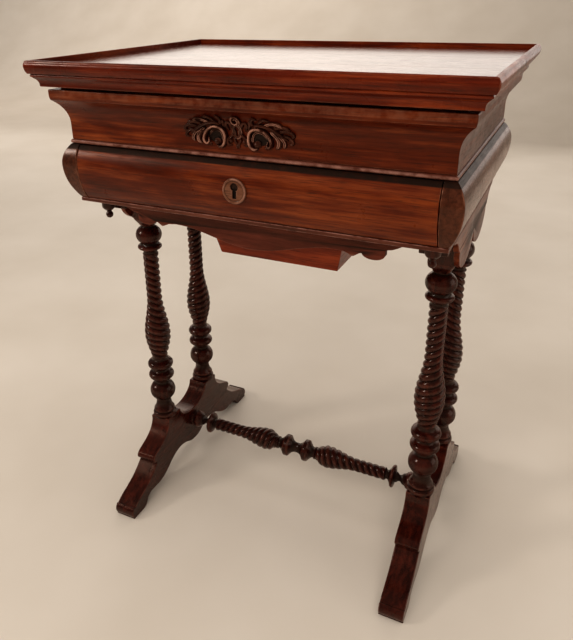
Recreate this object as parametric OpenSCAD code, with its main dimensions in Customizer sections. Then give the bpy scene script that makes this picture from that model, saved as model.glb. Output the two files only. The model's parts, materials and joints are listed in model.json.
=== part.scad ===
// Sewing table with a hinged lid, fitted compartments, a drawer and a wool box that draws
// forward, carried on two end frames with twist-turned legs and a turned stretcher.
// Origin at the middle of the floor footprint, +Z up, the drawer faces -Y. Millimetres.

/* [Lid] */
// Width of the lid over its nosing
lid_w = 581; // [520:1:680]
// Depth of the lid over its nosing
lid_d = 434; // [400:1:520]
// Height of the raised rim above the floor
table_h = 740; // [700:1:800]
// Thickness of the lid from rim to underside
lid_t = 33; // [32:1:40]
// Width of the raised rim seen from above
rim_w = 7; // [6:1:20]
// Depth of the field below the rim
rim_rise = 8; // [3:1:10]
// Thickness of the boards that make the field
board_t = 12; // [9:1:12]
// Number of boards in the field
board_count = 3; // [2:1:3]
// Width of the frame under the boards
lid_frame_w = 60; // [50:1:66]

/* [Case] */
// Height of the coved upper case
upper_h = 66; // [60:1:90]
// Height of the swelling drawer section
lower_h = 75.5; // [66:1:90]
// Gap between the outer edge of the case and the lid
lid_shadow = 4; // [3:0.5:6]
// Inset of the case top from the lid nosing
case_inset = 19; // [17:0.5:22]
// Thickness of the upper walls at their flat part
wall_t = 14; // [10:1:18]
// Thickness of the board between drawer and compartments
middle_t = 6; // [6:0.5:8]
// Thickness of the board under the drawer
bottom_t = 5.5; // [5:0.5:8]
// Height of the compartment dividers
divider_h = 52; // [30:1:54]
// Thickness of the compartment dividers
divider_t = 6; // [4:0.5:8]

/* [Drawer] */
// Thickness of the corner posts beside the drawer front
post_w = 26; // [25:0.5:30]
// Thickness of the drawer front behind its swelling
front_t = 26.5; // [24:0.5:30]
// Thickness of the drawer sides and back
drawer_side_t = 12; // [8:0.5:14]
// Thickness of the drawer bottom
drawer_bottom_t = 6; // [4:0.5:8]
// Clearance between the drawer and the case
drawer_gap = 0.8; // [0.5:0.1:1.5]

/* [Stand] */
// Distance of each end frame from the middle
frame_x = 230; // [205:1:232]
// Distance of each leg from the middle, front to back
leg_y = 66; // [62:1:80]
// Height of the feet at the legs
foot_h = 124; // [110:1:130]
// Length of each foot, front to back
foot_len = 408; // [390:1:430]
// Width of each foot
foot_w = 36; // [36:1:44]
// Width of the square block at the top of a leg
block_w = 34; // [30:1:34]
// Height of the block at the top of a leg
block_h = 35; // [30:1:50]
// Height of the rail that joins the legs under the case
rail_h = 20; // [16:1:26]
// Half length of the rail that joins the legs
rail_half = 140; // [132:1:146]
// Radius of the round tenons
tenon_r = 8; // [6:0.5:9]
// Height of the stretcher's axis above the floor
stretcher_z = 75.5; // [70:0.5:80]

/* [Wool box] */
// Half width of the wool box at its bottom
wool_half_w = 91; // [80:1:100]
// Half depth of the wool box at its bottom
wool_half_d = 76; // [66:1:84]
// Height of the wool box
wool_h = 70; // [50:1:90]
// Thickness of the wool box boards
wool_t = 7; // [5:0.5:9]
// Thickness of the apron in front of the wool slide
apron_t = 10; // [8:1:12]
// Half width of the apron
apron_half = 206; // [198:1:208]

/* [Fittings] */
// Radius of a hinge pin
pin_r = 1.2; // [1:0.1:1.4]
// Radius of a hinge knuckle
knuckle_r = 2.6; // [2.4:0.1:2.8]
// Length of a hinge
hinge_len = 54; // [40:1:70]
// Distance of each hinge from the middle
hinge_x = 190; // [150:1:200]
// Radial clearance of a hinge pin in its knuckles
pin_gap = 0.05; // [0.02:0.01:0.08]
// Clearance round a lock bolt
bolt_gap = 0.3; // [0.2:0.05:0.5]
// Travel of a lock bolt
bolt_travel = 6; // [5:0.5:6]

/* [Hidden] */

// Levels, from the lid down to the floor
half_w = lid_w / 2;
half_d = lid_d / 2;
lid_z = table_h - lid_t;
field_z = table_h - rim_rise;
board_z = field_z - board_t;
upper_top = lid_z - lid_shadow;
lip_top = lid_z - 0.8;
upper_z = upper_top - upper_h;
middle_z = upper_z - middle_t;
lower_z = middle_z - lower_h;
bottom_z = lower_z - bottom_t;
rail_z = bottom_z - rail_h;

// Insets of the case faces from the lid nosing
cove_inset = case_inset + 17;
bead_inset = case_inset + 14.6;
belly_inset = case_inset + 3.3;
plinth_inset = case_inset + 17.3;
lip_inset = case_inset + 12;
flat_h = 21;
cove_r = 40;
cove_base = upper_z + flat_h;
belly_z = lower_z + 48;
belly_low_r = 86.7;
belly_high_r = 39.7;

// Insides of the case
inner_x = half_w - cove_inset - wall_t;
inner_y = half_d - cove_inset - wall_t;
post_x = half_w - belly_inset - post_w;
front_in_y = half_d - belly_inset - front_t;
plinth_x = half_w - plinth_inset;
plinth_y = half_d - plinth_inset;
runner_h = 4.5;
divider_y = 30;
cross_front_x = 120;
cross_back_x = 80;
cushion_gap = 1;
cushion_h = 38;

// Hinge line, behind the case and half way up the gap under the lid
hinge_y = half_d - case_inset + knuckle_r + 0.6;
hinge_z = lid_z - lid_shadow / 2;
leaf_t = 1.4;
hinge_slot = 0.3;
notch_gap = 0.6;
screw_r = 2;
case_screw_len = 9;
lid_screw_len = board_z - lid_z - 2;

// Locks
lock_w = 60;
lock_h = 36;
lock_t = 9;
lock_bolt_w = 22;
lock_bolt_t = 4;
lock_bolt_h = 24;
lid_lock_top = lip_top - 0.3;
drawer_lock_top = middle_z - 3;
strike_t = 1;
bolt_pocket = 1.2;
// Keyholes as [radius, height of the round above the middle, half width and depth of the slot]
lid_key = [2.6, 0, 1.2, 9];
drawer_key = [5, 4.7, 2.5, 9.5];
ornament_z = upper_z + 31;
ornament_proud = 7;
escutcheon_r = 16;
escutcheon_z = lower_z + 40.5;
escutcheon_proud = 3;

// Stand
tenon_len = 12;
foot_tenon = 24;
tenon_gap = 0.05;
shaft_r = 12.6;
ball_r = 20.4;
capital_h = 16;
apron_side_t = plinth_x - frame_x - block_w / 2;
drop_y = plinth_y - 29.7;
drop_x = frame_x + 2;

// Wool slide
slide_gap = 0.3;
flare = 0.233;
bar_t = 14;
bar_in = 96;
bar_out = 124;
bar_z = bottom_z - 6 - bar_t;
wool_z = bar_z - wool_h;
wool_top_w = wool_half_w + flare * wool_h;
wool_top_d = wool_half_d + flare * wool_h;
apron_y = plinth_y - 25;
wool_bottom_t = 6;
runner_web = 12;
runner_foot = 6;
runner_front = apron_y - apron_t - 2;
runner_back = plinth_y - 22;
bar_back = wool_top_d + 6;

// Drawer box
drawer_out = post_x - drawer_gap;
drawer_z = lower_z + runner_h + slide_gap;
drawer_top = middle_z - drawer_gap - 3;
drawer_back_y = front_in_y - 18;

mahogany = [0.36, 0.10, 0.05];
mahogany_dark = [0.20, 0.06, 0.04];
cedar = [0.52, 0.16, 0.06];
pine = [0.66, 0.48, 0.28];
brass = [0.72, 0.55, 0.25];

// Points of an arc about [x, y] from angle a to angle b
function arc(x, y, r, a, b, n = 10) =
    [for (i = [0:n]) let (t = a + (b - a) * i / n) [x + r * cos(t), y + r * sin(t)]];

// Points of a turned bead between two heights, swelling from r_in to r_out
function bead(z0, z1, r_in, r_out, n = 10) =
    [for (i = [0:n]) let (t = i / n) [r_in + (r_out - r_in) * sin(180 * t), z0 + (z1 - z0) * t]];

// Points of a smooth S-shaped change of radius between two heights
function ease(z0, z1, r0, r1, n = 8) =
    [for (i = [0:n]) let (t = i / n) [r0 + (r1 - r0) * (1 - cos(180 * t)) / 2, z0 + (z1 - z0) * t]];

// Closes a half outline, drawn from the middle outwards, with its own mirror image
function both(half) =
    concat(half, [for (i = [len(half) - 1:-1:0]) if (half[i][0] > 0) [-half[i][0], half[i][1]]]);

// Carries a profile drawn as [y, z] along X
module x_run(len) {
    rotate([90, 0, 90]) linear_extrude(len, center = true) children();
}

// Carries a profile drawn as [x, z] along Y
module y_run(len) {
    rotate([90, 0, 0]) linear_extrude(len, center = true) children();
}

// One mitred length of a frame on its -Y side; the profile is [inset, z]
module mitred(half_len, half_off, width) {
    intersection() {
        x_run(2 * half_len + 4) translate([-half_off, 0]) children();
        linear_extrude(table_h + 10) polygon([
            [-half_len - 1, -half_off - 1], [half_len + 1, -half_off - 1],
            [half_len - width, -half_off + width], [-half_len + width, -half_off + width]]);
    }
}

// Section of the lid frame: rounded rim, ovolo, quirk, cove, and the ledge for the boards
module rim_section() {
    polygon(concat(
        [[lid_frame_w, lid_z], [13.2, lid_z], [13.2, lid_z + 1], [11.7, lid_z + 3.8],
         [10.4, lid_z + 6.4], [8.2, lid_z + 9], [6, lid_z + 12], [5.6, lid_z + 16]],
        arc(14, lid_z + 27, 14, 228, 180, 8),
        arc(4.5, table_h - 4.5, 4.5, 180, 90, 5),
        [[rim_w, table_h], [rim_w, board_z], [lid_frame_w, board_z]]));
}

// Section of the upper case wall: fillet, cove, flat frieze, and a lip that carries the lid
module upper_section() {
    polygon(concat(
        [[cove_inset, upper_z], [cove_inset, cove_base]],
        arc(cove_inset - cove_r, cove_base, cove_r, 0, 53, 10),
        [[case_inset + 0.4, upper_top - 9.5], [case_inset, upper_top - 8.5],
         [case_inset, upper_top - 1.5], [case_inset + 1.5, upper_top],
         [lip_inset, upper_top], [lip_inset, lip_top],
         [cove_inset + wall_t, lip_top], [cove_inset + wall_t, upper_z]]));
}

// Outline of the swelling lower case across its full width, from its half width
module belly_outline(half) {
    edge = half - belly_inset;
    side = concat(
        arc(edge - belly_low_r, belly_z, belly_low_r, -33.6, 0, 10),
        arc(edge - belly_high_r, belly_z, belly_high_r, 5, 43.8, 8));
    polygon(both(concat(
        [[half - plinth_inset - 0.5, lower_z]], side, [[half - bead_inset, middle_z]])));
}

// The whole lower case as one block, swelling on all four sides
module belly_block() {
    intersection() {
        x_run(lid_w) belly_outline(half_d);
        y_run(lid_d) belly_outline(half_w);
    }
}

// Keyhole through a front: a round and a slot below it, along Y
module keyhole(z, key) {
    translate([0, 0, z + key[1]]) rotate([90, 0, 0]) cylinder(h = 3 * half_d, r = key[0], $fn = 32);
    translate([-key[2], -3 * half_d, z - key[3]]) cube([2 * key[2], 3 * half_d, key[3] + key[1]]);
}

module bottom_board() color(mahogany) {
    translate([-plinth_x, -plinth_y, bottom_z]) cube([2 * plinth_x, 2 * plinth_y, bottom_t]);
}

module lower_side(s) color(mahogany) {
    intersection() {
        belly_block();
        translate([s > 0 ? post_x : -half_w, -half_d, 0]) cube([half_w - post_x, lid_d, table_h]);
    }
}

module lower_back() color(mahogany) {
    intersection() {
        belly_block();
        translate([-post_x, front_in_y, 0]) cube([2 * post_x, half_d, table_h]);
    }
}

module drawer_runners() color(pine) {
    for (s = [-1, 1])
        translate([s * (post_x - 8) - 7, -front_in_y + 2, lower_z]) cube([14, 2 * front_in_y - 4, runner_h]);
}

module middle_board() color(mahogany) {
    difference() {
        translate([bead_inset - half_w, bead_inset - half_d, middle_z])
            cube([lid_w - 2 * bead_inset, lid_d - 2 * bead_inset, middle_t]);
        bolt_slot(-front_in_y + lock_t / 2, middle_z - 1, bolt_travel - 1);
    }
}

// Pocket that a lock bolt enters
module bolt_slot(y, z, h) {
    translate([-lock_bolt_w / 2 - bolt_pocket, y - lock_bolt_t / 2 - bolt_pocket, z])
        cube([lock_bolt_w + 2 * bolt_pocket, lock_bolt_t + 2 * bolt_pocket, h]);
}

module upper_front() color(mahogany) {
    difference() {
        mitred(half_w, half_d, cove_inset + wall_t + 1) upper_section();
        keyhole(ornament_z, lid_key);
    }
}

module upper_back() color(mahogany) {
    difference() {
        rotate([0, 0, 180]) mitred(half_w, half_d, cove_inset + wall_t + 1) upper_section();
        at_screws() translate([0, 0, upper_top - case_screw_len])
            cylinder(h = case_screw_len + 1, r = screw_r, $fn = 24);
    }
}

module upper_side(s) color(mahogany) {
    rotate([0, 0, s * 90]) mitred(half_d, half_w, cove_inset + wall_t + 1) upper_section();
}

module long_divider() color(mahogany) {
    translate([-inner_x, divider_y, upper_z]) cube([2 * inner_x, divider_t, divider_h]);
}

module cross_dividers() color(mahogany) {
    for (s = [-1, 1]) {
        translate([s * cross_front_x - divider_t / 2, -inner_y, upper_z])
            cube([divider_t, inner_y + divider_y, divider_h]);
        translate([s * cross_back_x - divider_t / 2, divider_y + divider_t, upper_z])
            cube([divider_t, inner_y - divider_y - divider_t, divider_h]);
    }
}

module pin_cushion() color([0.45, 0.08, 0.12]) {
    x = cross_back_x - divider_t / 2 - cushion_gap;
    y = divider_y + divider_t + cushion_gap;
    translate([-x, y, upper_z]) cube([2 * x, inner_y - cushion_gap - y, cushion_h]);
}

// Box lock with a channel for its bolt; y is the face it is fixed to
module lock_box(y, top) {
    difference() {
        translate([-lock_w / 2, y, top - lock_h]) cube([lock_w, lock_t, lock_h]);
        translate([-lock_bolt_w / 2 - bolt_gap, y + (lock_t - lock_bolt_t) / 2 - bolt_gap, top - lock_bolt_h - 2])
            cube([lock_bolt_w + 2 * bolt_gap, lock_bolt_t + 2 * bolt_gap, lock_bolt_h + 3]);
    }
}

module lock_bolt(y, top) {
    translate([-lock_bolt_w / 2, y + (lock_t - lock_bolt_t) / 2, top - lock_bolt_h - bolt_gap])
        cube([lock_bolt_w, lock_bolt_t, lock_bolt_h]);
}

module lid_lock() color(brass) lock_box(-inner_y, lid_lock_top);

module lid_lock_bolt() color(brass) lock_bolt(-inner_y, lid_lock_top);

// Front face of the upper case as a solid region, moved forward by a distance
module frieze(forward) {
    x_run(lid_w) translate([-half_d - forward, 0]) upper_section();
}

// A pointed leaf between two circles, drawn from the origin along +X
module leaf(len, r) {
    intersection() {
        translate([len / 2, -sqrt(r * r - len * len / 4)]) circle(r = r, $fn = 64);
        translate([len / 2, sqrt(r * r - len * len / 4)]) circle(r = r, $fn = 64);
    }
}

// Outline of the carved leaf-scroll ornament
module ornament_outline() {
    circle(r = 15, $fn = 48);
    translate([0, 14]) circle(r = 7, $fn = 32);
    translate([0, -14]) circle(r = 7, $fn = 32);
    for (s = [0, 1]) mirror([s, 0]) {
        translate([8, -3]) rotate(8) leaf(66, 48);
        translate([22, 2]) rotate(48) leaf(26, 18);
        translate([36, 2]) rotate(-38) leaf(28, 19);
        translate([46, 5]) rotate(40) leaf(20, 14);
        translate([24, -11]) circle(r = 8, $fn = 32);
    }
}

module carved_ornament() color(mahogany_dark) {
    difference() {
        intersection() {
            translate([0, -half_d + cove_inset + 1, ornament_z])
                rotate([90, 0, 0]) linear_extrude(cove_inset) ornament_outline();
            frieze(ornament_proud);
        }
        frieze(0);
        keyhole(ornament_z, lid_key);
    }
}

module end_rail(s) color(mahogany_dark) {
    difference() {
        translate([s * frame_x - block_w / 2, -rail_half, rail_z]) cube([block_w, 2 * rail_half, rail_h]);
        for (t = [-1, 1])
            translate([s * frame_x, t * leg_y, rail_z - 1])
                cylinder(h = tenon_len + 2, r = tenon_r + tenon_gap, $fn = 48);
    }
}

// Shaped board on the outside of an end rail: two round lobes over the legs
module side_apron(s) color(mahogany) {
    lobe = leg_y - 16;
    lobes = [for (i = [0:12]) let (t = 180 * i / 12)
        [lobe - lobe * cos(t), bottom_z - 28 - 33 * sin(t)]];
    translate([s * (plinth_x - apron_side_t / 2), 0, 0]) x_run(apron_side_t)
        polygon(both(concat(lobes,
            [[2 * lobe + 3, bottom_z - 24]],
            arc(2 * lobe + 42, bottom_z - 44, 40, 152, 92, 8),
            [[rail_half + 8, bottom_z]])));
}

module corner_drops() color(mahogany_dark) {
    for (s = [-1, 1])
        translate([s * drop_x, -drop_y, bottom_z - 32]) rotate_extrude($fn = 48)
            polygon(concat([[0, 0]], bead(1, 11, 1.5, 5, 8), [[3.8, 11.5]],
                ease(12, 17, 4, 9.5, 6), [[9.5, 32], [0, 32]]));
}

// Turned leg: base cup, ball, two rings, a swelling twist shaft, ring, ball and square block
module leg(x, y) color(mahogany_dark) {
    top = rail_z - block_h;
    ball = top - capital_h;
    span = ball - foot_h;
    translate([x, y, 0]) {
        rotate_extrude($fn = 64) polygon(concat(
            [[0, foot_h - foot_tenon], [tenon_r, foot_h - foot_tenon], [tenon_r, foot_h]],
            bead(foot_h, foot_h + 12, 16, 19, 6),
            ease(foot_h + 13, foot_h + 32, 17, 13.5, 6),
            bead(foot_h + 36, foot_h + 69, 14, 21.6, 10),
            bead(foot_h + 75, foot_h + 92, 15, 21.4, 8),
            bead(foot_h + 96, foot_h + 113, 15, 21.4, 8),
            ease(foot_h + 118, foot_h + 161, 13, 21, 10),
            ease(foot_h + 165, foot_h + 0.66 * span, 21, shaft_r, 12),
            [[shaft_r, ball - 47], [10.5, ball - 41]],
            bead(ball - 38, ball - 30, 12, 19, 8),
            bead(ball - 29, ball - 1, 11, ball_r, 12),
            ease(ball, ball + 5, 10.5, 12, 4),
            [[block_w / 2 - 4, top - 7], [block_w / 2 - 1, top - 3], [block_w / 2 - 0.5, top + 1]],
            [[0, top + 1]]));
        translate([-block_w / 2, -block_w / 2, top + 1]) cube([block_w, block_w, block_h - 1]);
        translate([0, 0, rail_z - 1]) cylinder(h = tenon_len + 1, r = tenon_r, $fn = 48);
    }
}

// Side view of a trestle foot as [y, z]
module foot_profile() {
    toe = foot_len / 2;
    shelf = leg_y + 16;
    dip = leg_y - 21;
    polygon(both(concat(
        [[0, 30], [14, 32], [30, 40], [60, 43], [78, 38], [96, 25], [122, 17.5], [toe - 56, 18]],
        arc(toe - 48, 8, 10, 125, 180, 4),
        [[toe - 34, 0], [toe - 3, 0]],
        arc(toe - 12, 10, 12, -50, 60, 6),
        [[toe - 24, 29], [toe - 52, 41], [toe - 76, 59], [toe - 73, 64]],
        arc(toe - 78, 72, 8, -20, 80, 5),
        [[toe - 90, 84], [toe - 104, 92], [toe - 117, 103], [shelf, foot_h - 9], [shelf, foot_h]],
        [[dip, foot_h]],
        [for (i = [1:8]) let (t = 90 * i / 8) [i == 8 ? 0 : dip * cos(t), foot_h - 26 * sin(t)]])));
}

module foot(s) color(mahogany_dark) {
    difference() {
        translate([s * frame_x, 0, 0]) x_run(foot_w) foot_profile();
        for (t = [-1, 1])
            translate([s * frame_x, t * leg_y, foot_h - foot_tenon - 0.5])
                cylinder(h = foot_tenon + 2, r = tenon_r + tenon_gap, $fn = 48);
        translate([s * (frame_x - foot_w / 2), 0, stretcher_z]) rotate([0, s * 90, 0])
            translate([0, 0, -2]) cylinder(h = tenon_len + 2.5, r = tenon_r + tenon_gap, $fn = 48);
    }
}

// One half of the stretcher as [radius, distance from the middle]
module stretcher_profile() {
    face = frame_x - foot_w / 2;
    polygon(concat(
        [[0, 0], [8.5, 0]],
        ease(5, 15, 9, 18.6, 6), [[18.6, 20]], ease(21, 30, 18, 9, 6), [[10.5, 35], [9, 37]],
        ease(38, 56, 10, 18.6, 8), ease(58, face - 98, 18.6, 11, 8), [[10, face - 52]],
        [[8, face - 50]], ease(face - 46, face - 40, 9, 18.6, 4), ease(face - 38, face - 34, 18.6, 9, 4),
        [[9, face - 22], [12, face - 14], [12, face], [tenon_r, face],
         [tenon_r, face + tenon_len], [0, face + tenon_len]]));
}

module stretcher() color(mahogany_dark) {
    translate([0, 0, stretcher_z])
        for (s = [-1, 1]) rotate([0, s * 90, 0]) rotate_extrude($fn = 64) stretcher_profile();
}

// L-shaped runners that carry the wool slide under the case
module wool_runners() color(pine) {
    for (s = [0, 1]) mirror([s, 0, 0]) {
        translate([bar_out + slide_gap, -runner_front, bar_z - runner_foot - slide_gap])
            cube([runner_web, runner_front + runner_back, bottom_z - bar_z + runner_foot + slide_gap]);
        translate([bar_out - 12, -runner_front, bar_z - runner_foot - slide_gap])
            cube([12 + slide_gap + 1, runner_front + runner_back, runner_foot]);
    }
}

// Knuckles of one leaf, cut for the pin; centre picks the middle or the two outer ones
module knuckles(x, centre) {
    third = hinge_len / 3;
    for (i = centre ? [0] : [-1, 1])
        translate([x + i * (third + hinge_slot / 2) - third / 2 + hinge_slot / 2, hinge_y, hinge_z])
            rotate([0, 90, 0]) cylinder(h = third - hinge_slot, r = knuckle_r, $fn = 48);
}

module leaf_plate(x, z, centre) {
    third = hinge_len / 3;
    deep = hinge_y - (half_d - lip_inset) - 0.5;
    difference() {
        translate([x - hinge_len / 2, hinge_y - deep, z]) cube([hinge_len, deep, leaf_t]);
        for (i = centre ? [-1, 1] : [0])
            translate([x + i * third - third / 2 - hinge_slot, hinge_y - knuckle_r - 0.4, z - 1])
                cube([third + 2 * hinge_slot, knuckle_r + 1, leaf_t + 2]);
    }
}

module hinge_leaf(x, z, centre) color(brass) {
    difference() {
        union() {
            leaf_plate(x, z, centre);
            knuckles(x, centre);
        }
        translate([x - hinge_len, hinge_y, hinge_z]) rotate([0, 90, 0])
            cylinder(h = 2 * hinge_len, r = pin_r + pin_gap, $fn = 48);
        leaf_screws(x, z, screw_r + 0.1);
    }
}

module leaf_screws(x, z, r) {
    for (i = [-1, 0, 1])
        translate([x + i * hinge_len / 3.2, hinge_y - knuckle_r - 6.5, z - 1]) cylinder(h = leaf_t + 2, r = r, $fn = 24);
}

module case_hinge(s) hinge_leaf(s * hinge_x, upper_top, false);

module lid_hinge(s) hinge_leaf(s * hinge_x, lid_z - leaf_t, true);

module hinge_pins() color(brass) {
    for (s = [-1, 1])
        translate([s * hinge_x - hinge_len / 2 - 1, hinge_y, hinge_z]) rotate([0, 90, 0])
            cylinder(h = hinge_len + 2, r = pin_r, $fn = 48);
}

// Screw places of both hinges
module at_screws() {
    for (s = [-1, 1])
        for (i = [-1, 0, 1])
            translate([s * hinge_x + i * hinge_len / 3.2, hinge_y - knuckle_r - 6.5, 0]) children();
}

module case_screws() color(brass) {
    at_screws() translate([0, 0, upper_top - case_screw_len])
        cylinder(h = case_screw_len + leaf_t, r = screw_r, $fn = 24);
}

module lid_screws() color(brass) {
    at_screws() translate([0, 0, lid_z - leaf_t]) cylinder(h = lid_screw_len + leaf_t, r = screw_r, $fn = 24);
}

module lid_rim_front() color(mahogany) {
    difference() {
        mitred(half_w, half_d, lid_frame_w + 1) rim_section();
        strike_plate(0);
        bolt_slot(-inner_y + lock_t / 2, lid_z - 1, bolt_travel + 2);
    }
}

module lid_rim_back() color(mahogany) {
    difference() {
        rotate([0, 0, 180]) mitred(half_w, half_d, lid_frame_w + 1) rim_section();
        for (s = [-1, 1])
            translate([s * hinge_x - hinge_len / 2 - 2, hinge_y, hinge_z]) rotate([0, 90, 0])
                cylinder(h = hinge_len + 4, r = knuckle_r + notch_gap, $fn = 48);
        at_screws() translate([0, 0, lid_z - 1]) cylinder(h = lid_screw_len + 1, r = screw_r, $fn = 24);
    }
}

module lid_rim_side(s) color(mahogany) {
    rotate([0, 0, s * 90]) mitred(half_d, half_w, lid_frame_w + 1) rim_section();
}

// Board number i of the field, counted from the front
module lid_board(i) color(mahogany) {
    deep = (lid_d - 2 * rim_w) / board_count;
    span = i == 1 ? (board_count - 2) * deep : deep;
    y = i == 0 ? 0 : (i == 1 ? deep : (board_count - 1) * deep);
    if (span > 0)
        translate([rim_w - half_w, rim_w - half_d + y, board_z]) cube([lid_w - 2 * rim_w, span, board_t]);
}

module strike_plate(gap) {
    translate([-lock_w / 2 + gap, -inner_y - 1 + gap, lid_z]) cube([lock_w - 2 * gap, lock_t + 2 - 2 * gap, strike_t]);
}

module lid_strike() color(brass) {
    difference() {
        strike_plate(0);
        bolt_slot(-inner_y + lock_t / 2, lid_z - 1, bolt_travel + 2);
    }
}

module drawer_front() color(mahogany) {
    difference() {
        intersection() {
            belly_block();
            translate([-post_x + drawer_gap, -half_d, lower_z + drawer_gap])
                cube([2 * (post_x - drawer_gap), half_d - front_in_y, lower_h - 2 * drawer_gap]);
        }
        keyhole(escutcheon_z, drawer_key);
        escutcheon_body(0);
    }
}

// Round boss let into the drawer front
module escutcheon_body(gap) {
    translate([0, -half_d + belly_inset + 6, escutcheon_z]) rotate([90, 0, 0])
        cylinder(h = 6 + escutcheon_proud, r = escutcheon_r - gap, $fn = 64);
}

module escutcheon() color(mahogany_dark) {
    difference() {
        escutcheon_body(0);
        translate([0, -half_d + belly_inset, escutcheon_z]) rotate([90, 0, 0]) difference() {
            translate([0, 0, 1]) cylinder(h = 8, r = 11.5, $fn = 64);
            translate([0, 0, 1]) cylinder(h = 1.6, r = 12, $fn = 48);
        }
        keyhole(escutcheon_z, drawer_key);
    }
}

module drawer_side(s) color(pine) {
    translate([s > 0 ? drawer_out - drawer_side_t : -drawer_out, -front_in_y, drawer_z])
        cube([drawer_side_t, front_in_y + drawer_back_y, drawer_top - drawer_z]);
}

module drawer_back() color(pine) {
    translate([-drawer_out + drawer_side_t, drawer_back_y - drawer_side_t, drawer_z])
        cube([2 * (drawer_out - drawer_side_t), drawer_side_t, drawer_top - drawer_z]);
}

module drawer_bottom() color(pine) {
    translate([-drawer_out + drawer_side_t, -front_in_y, drawer_z + 2])
        cube([2 * (drawer_out - drawer_side_t), front_in_y + drawer_back_y - drawer_side_t, drawer_bottom_t]);
}

module drawer_lock() color(brass) lock_box(-front_in_y, drawer_lock_top);

module drawer_lock_bolt() color(brass) lock_bolt(-front_in_y, drawer_lock_top);

// Lower edge of the front apron: a wide bow, a small point, a round lobe and a coved end
module front_apron_profile() {
    end = apron_half;
    bow = end - 90;
    polygon(both(concat(
        [for (i = [0:10]) [bow * i / 10, bottom_z - 43.5 + 18.8 * pow(sin(9 * i), 2)]],
        [[end - 79, bottom_z - 26], [end - 68, bottom_z - 30], [end - 60, bottom_z - 25.5]],
        [for (i = [0:8]) let (t = 180 * i / 8) [end - 43 - 14.5 * cos(t), bottom_z - 24 - 7.4 * sin(t)]],
        [[end - 28.5, bottom_z - 17], [end - 20, bottom_z - 15.2], [end - 14.5, bottom_z - 12.8]],
        [[end - 9.5, bottom_z - 10], [end - 5, bottom_z - 7], [end - 1.5, bottom_z - 3.5]],
        [[end, bottom_z - slide_gap]])));
}

module wool_apron() color(mahogany) {
    translate([0, -apron_y + apron_t / 2, 0]) y_run(apron_t) front_apron_profile();
}

module wool_bars() color(cedar) {
    for (s = [0, 1]) mirror([s, 0, 0])
        translate([bar_in, -apron_y + apron_t, bar_z]) cube([bar_out - bar_in, apron_y - apron_t + bar_back, bar_t]);
}

// Side view of the flared wool box from half width w, between two heights above its bottom
module flare_section(w, z0, z1) {
    polygon([[-w - flare * z0, wool_z + z0], [w + flare * z0, wool_z + z0],
        [w + flare * z1, wool_z + z1], [-w - flare * z1, wool_z + z1]]);
}

// Block that widens upwards by the same amount on all sides
module flared(inset, z0, z1) {
    intersection() {
        y_run(4 * wool_top_d) flare_section(wool_half_w - inset, z0, z1);
        x_run(4 * wool_top_w) flare_section(wool_half_d - inset, z0, z1);
    }
}

module wool_shell() {
    difference() {
        flared(0, 0, wool_h);
        flared(wool_t, -1, wool_h + 1);
    }
}

// Wedge of the plan on the -Y side of a w by d rectangle, cut along its 45 degree mitres
module wedge(w, d) {
    translate([0, 0, wool_z - 1]) linear_extrude(wool_h + 2) polygon([
        [-w - 40, -d - 40], [w + 40, -d - 40], [w - 30, -d + 30], [-w + 30, -d + 30]]);
}

module wool_box_front() color(cedar) intersection() {
    wool_shell();
    wedge(wool_half_w, wool_half_d);
}

module wool_box_back() color(cedar) rotate([0, 0, 180]) intersection() {
    wool_shell();
    wedge(wool_half_w, wool_half_d);
}

module wool_box_side(s) color(cedar) intersection() {
    wool_shell();
    rotate([0, 0, s * 90]) wedge(wool_half_d, wool_half_w);
}

module wool_box_bottom() color(cedar) {
    flared(wool_t, 0, wool_bottom_t);
}

bottom_board();
lower_side(-1);  // lower_side_left
lower_side(1);  // lower_side_right
lower_back();
drawer_runners();
middle_board();
upper_front();
upper_back();
upper_side(-1);  // upper_left
upper_side(1);  // upper_right
long_divider();
cross_dividers();
pin_cushion();
lid_lock();
lid_lock_bolt();
carved_ornament();
end_rail(-1);  // rail_left
end_rail(1);  // rail_right
side_apron(-1);  // side_apron_left
side_apron(1);  // side_apron_right
corner_drops();
leg(-frame_x, -leg_y);  // leg_front_left
leg(frame_x, -leg_y);  // leg_front_right
leg(-frame_x, leg_y);  // leg_back_left
leg(frame_x, leg_y);  // leg_back_right
foot(-1);  // foot_left
foot(1);  // foot_right
stretcher();
wool_runners();
case_hinge(-1);  // case_hinge_left
case_hinge(1);  // case_hinge_right
hinge_pins();
case_screws();
lid_rim_front();
lid_rim_back();
lid_rim_side(-1);  // lid_rim_left
lid_rim_side(1);  // lid_rim_right
lid_board(0);  // lid_board_front
lid_board(1);  // lid_board_middle
lid_board(2);  // lid_board_back
lid_hinge(-1);  // lid_hinge_left
lid_hinge(1);  // lid_hinge_right
lid_screws();
lid_strike();
drawer_front();
drawer_side(-1);  // drawer_side_left
drawer_side(1);  // drawer_side_right
drawer_back();
drawer_bottom();
drawer_lock();
drawer_lock_bolt();
escutcheon();
wool_apron();
wool_bars();
wool_box_front();
wool_box_back();
wool_box_side(-1);  // wool_box_left
wool_box_side(1);  // wool_box_right
wool_box_bottom();
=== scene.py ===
# Looks of a sewing table: a coved and swelling mahogany case under a moulded lid, a drawer with a
# turned escutcheon, a carved keyhole ornament, a hanging wool box, and twist-turned end frames.
# Sizes are in millimetres in the frame's own axes: +Z up, the drawer faces -Y.

import json
import logging
import math
from dataclasses import dataclass, field
from enum import Enum
from typing import Callable, Protocol, Sequence

import bpy
import numpy as np
from mathutils import Matrix, Vector

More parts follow.
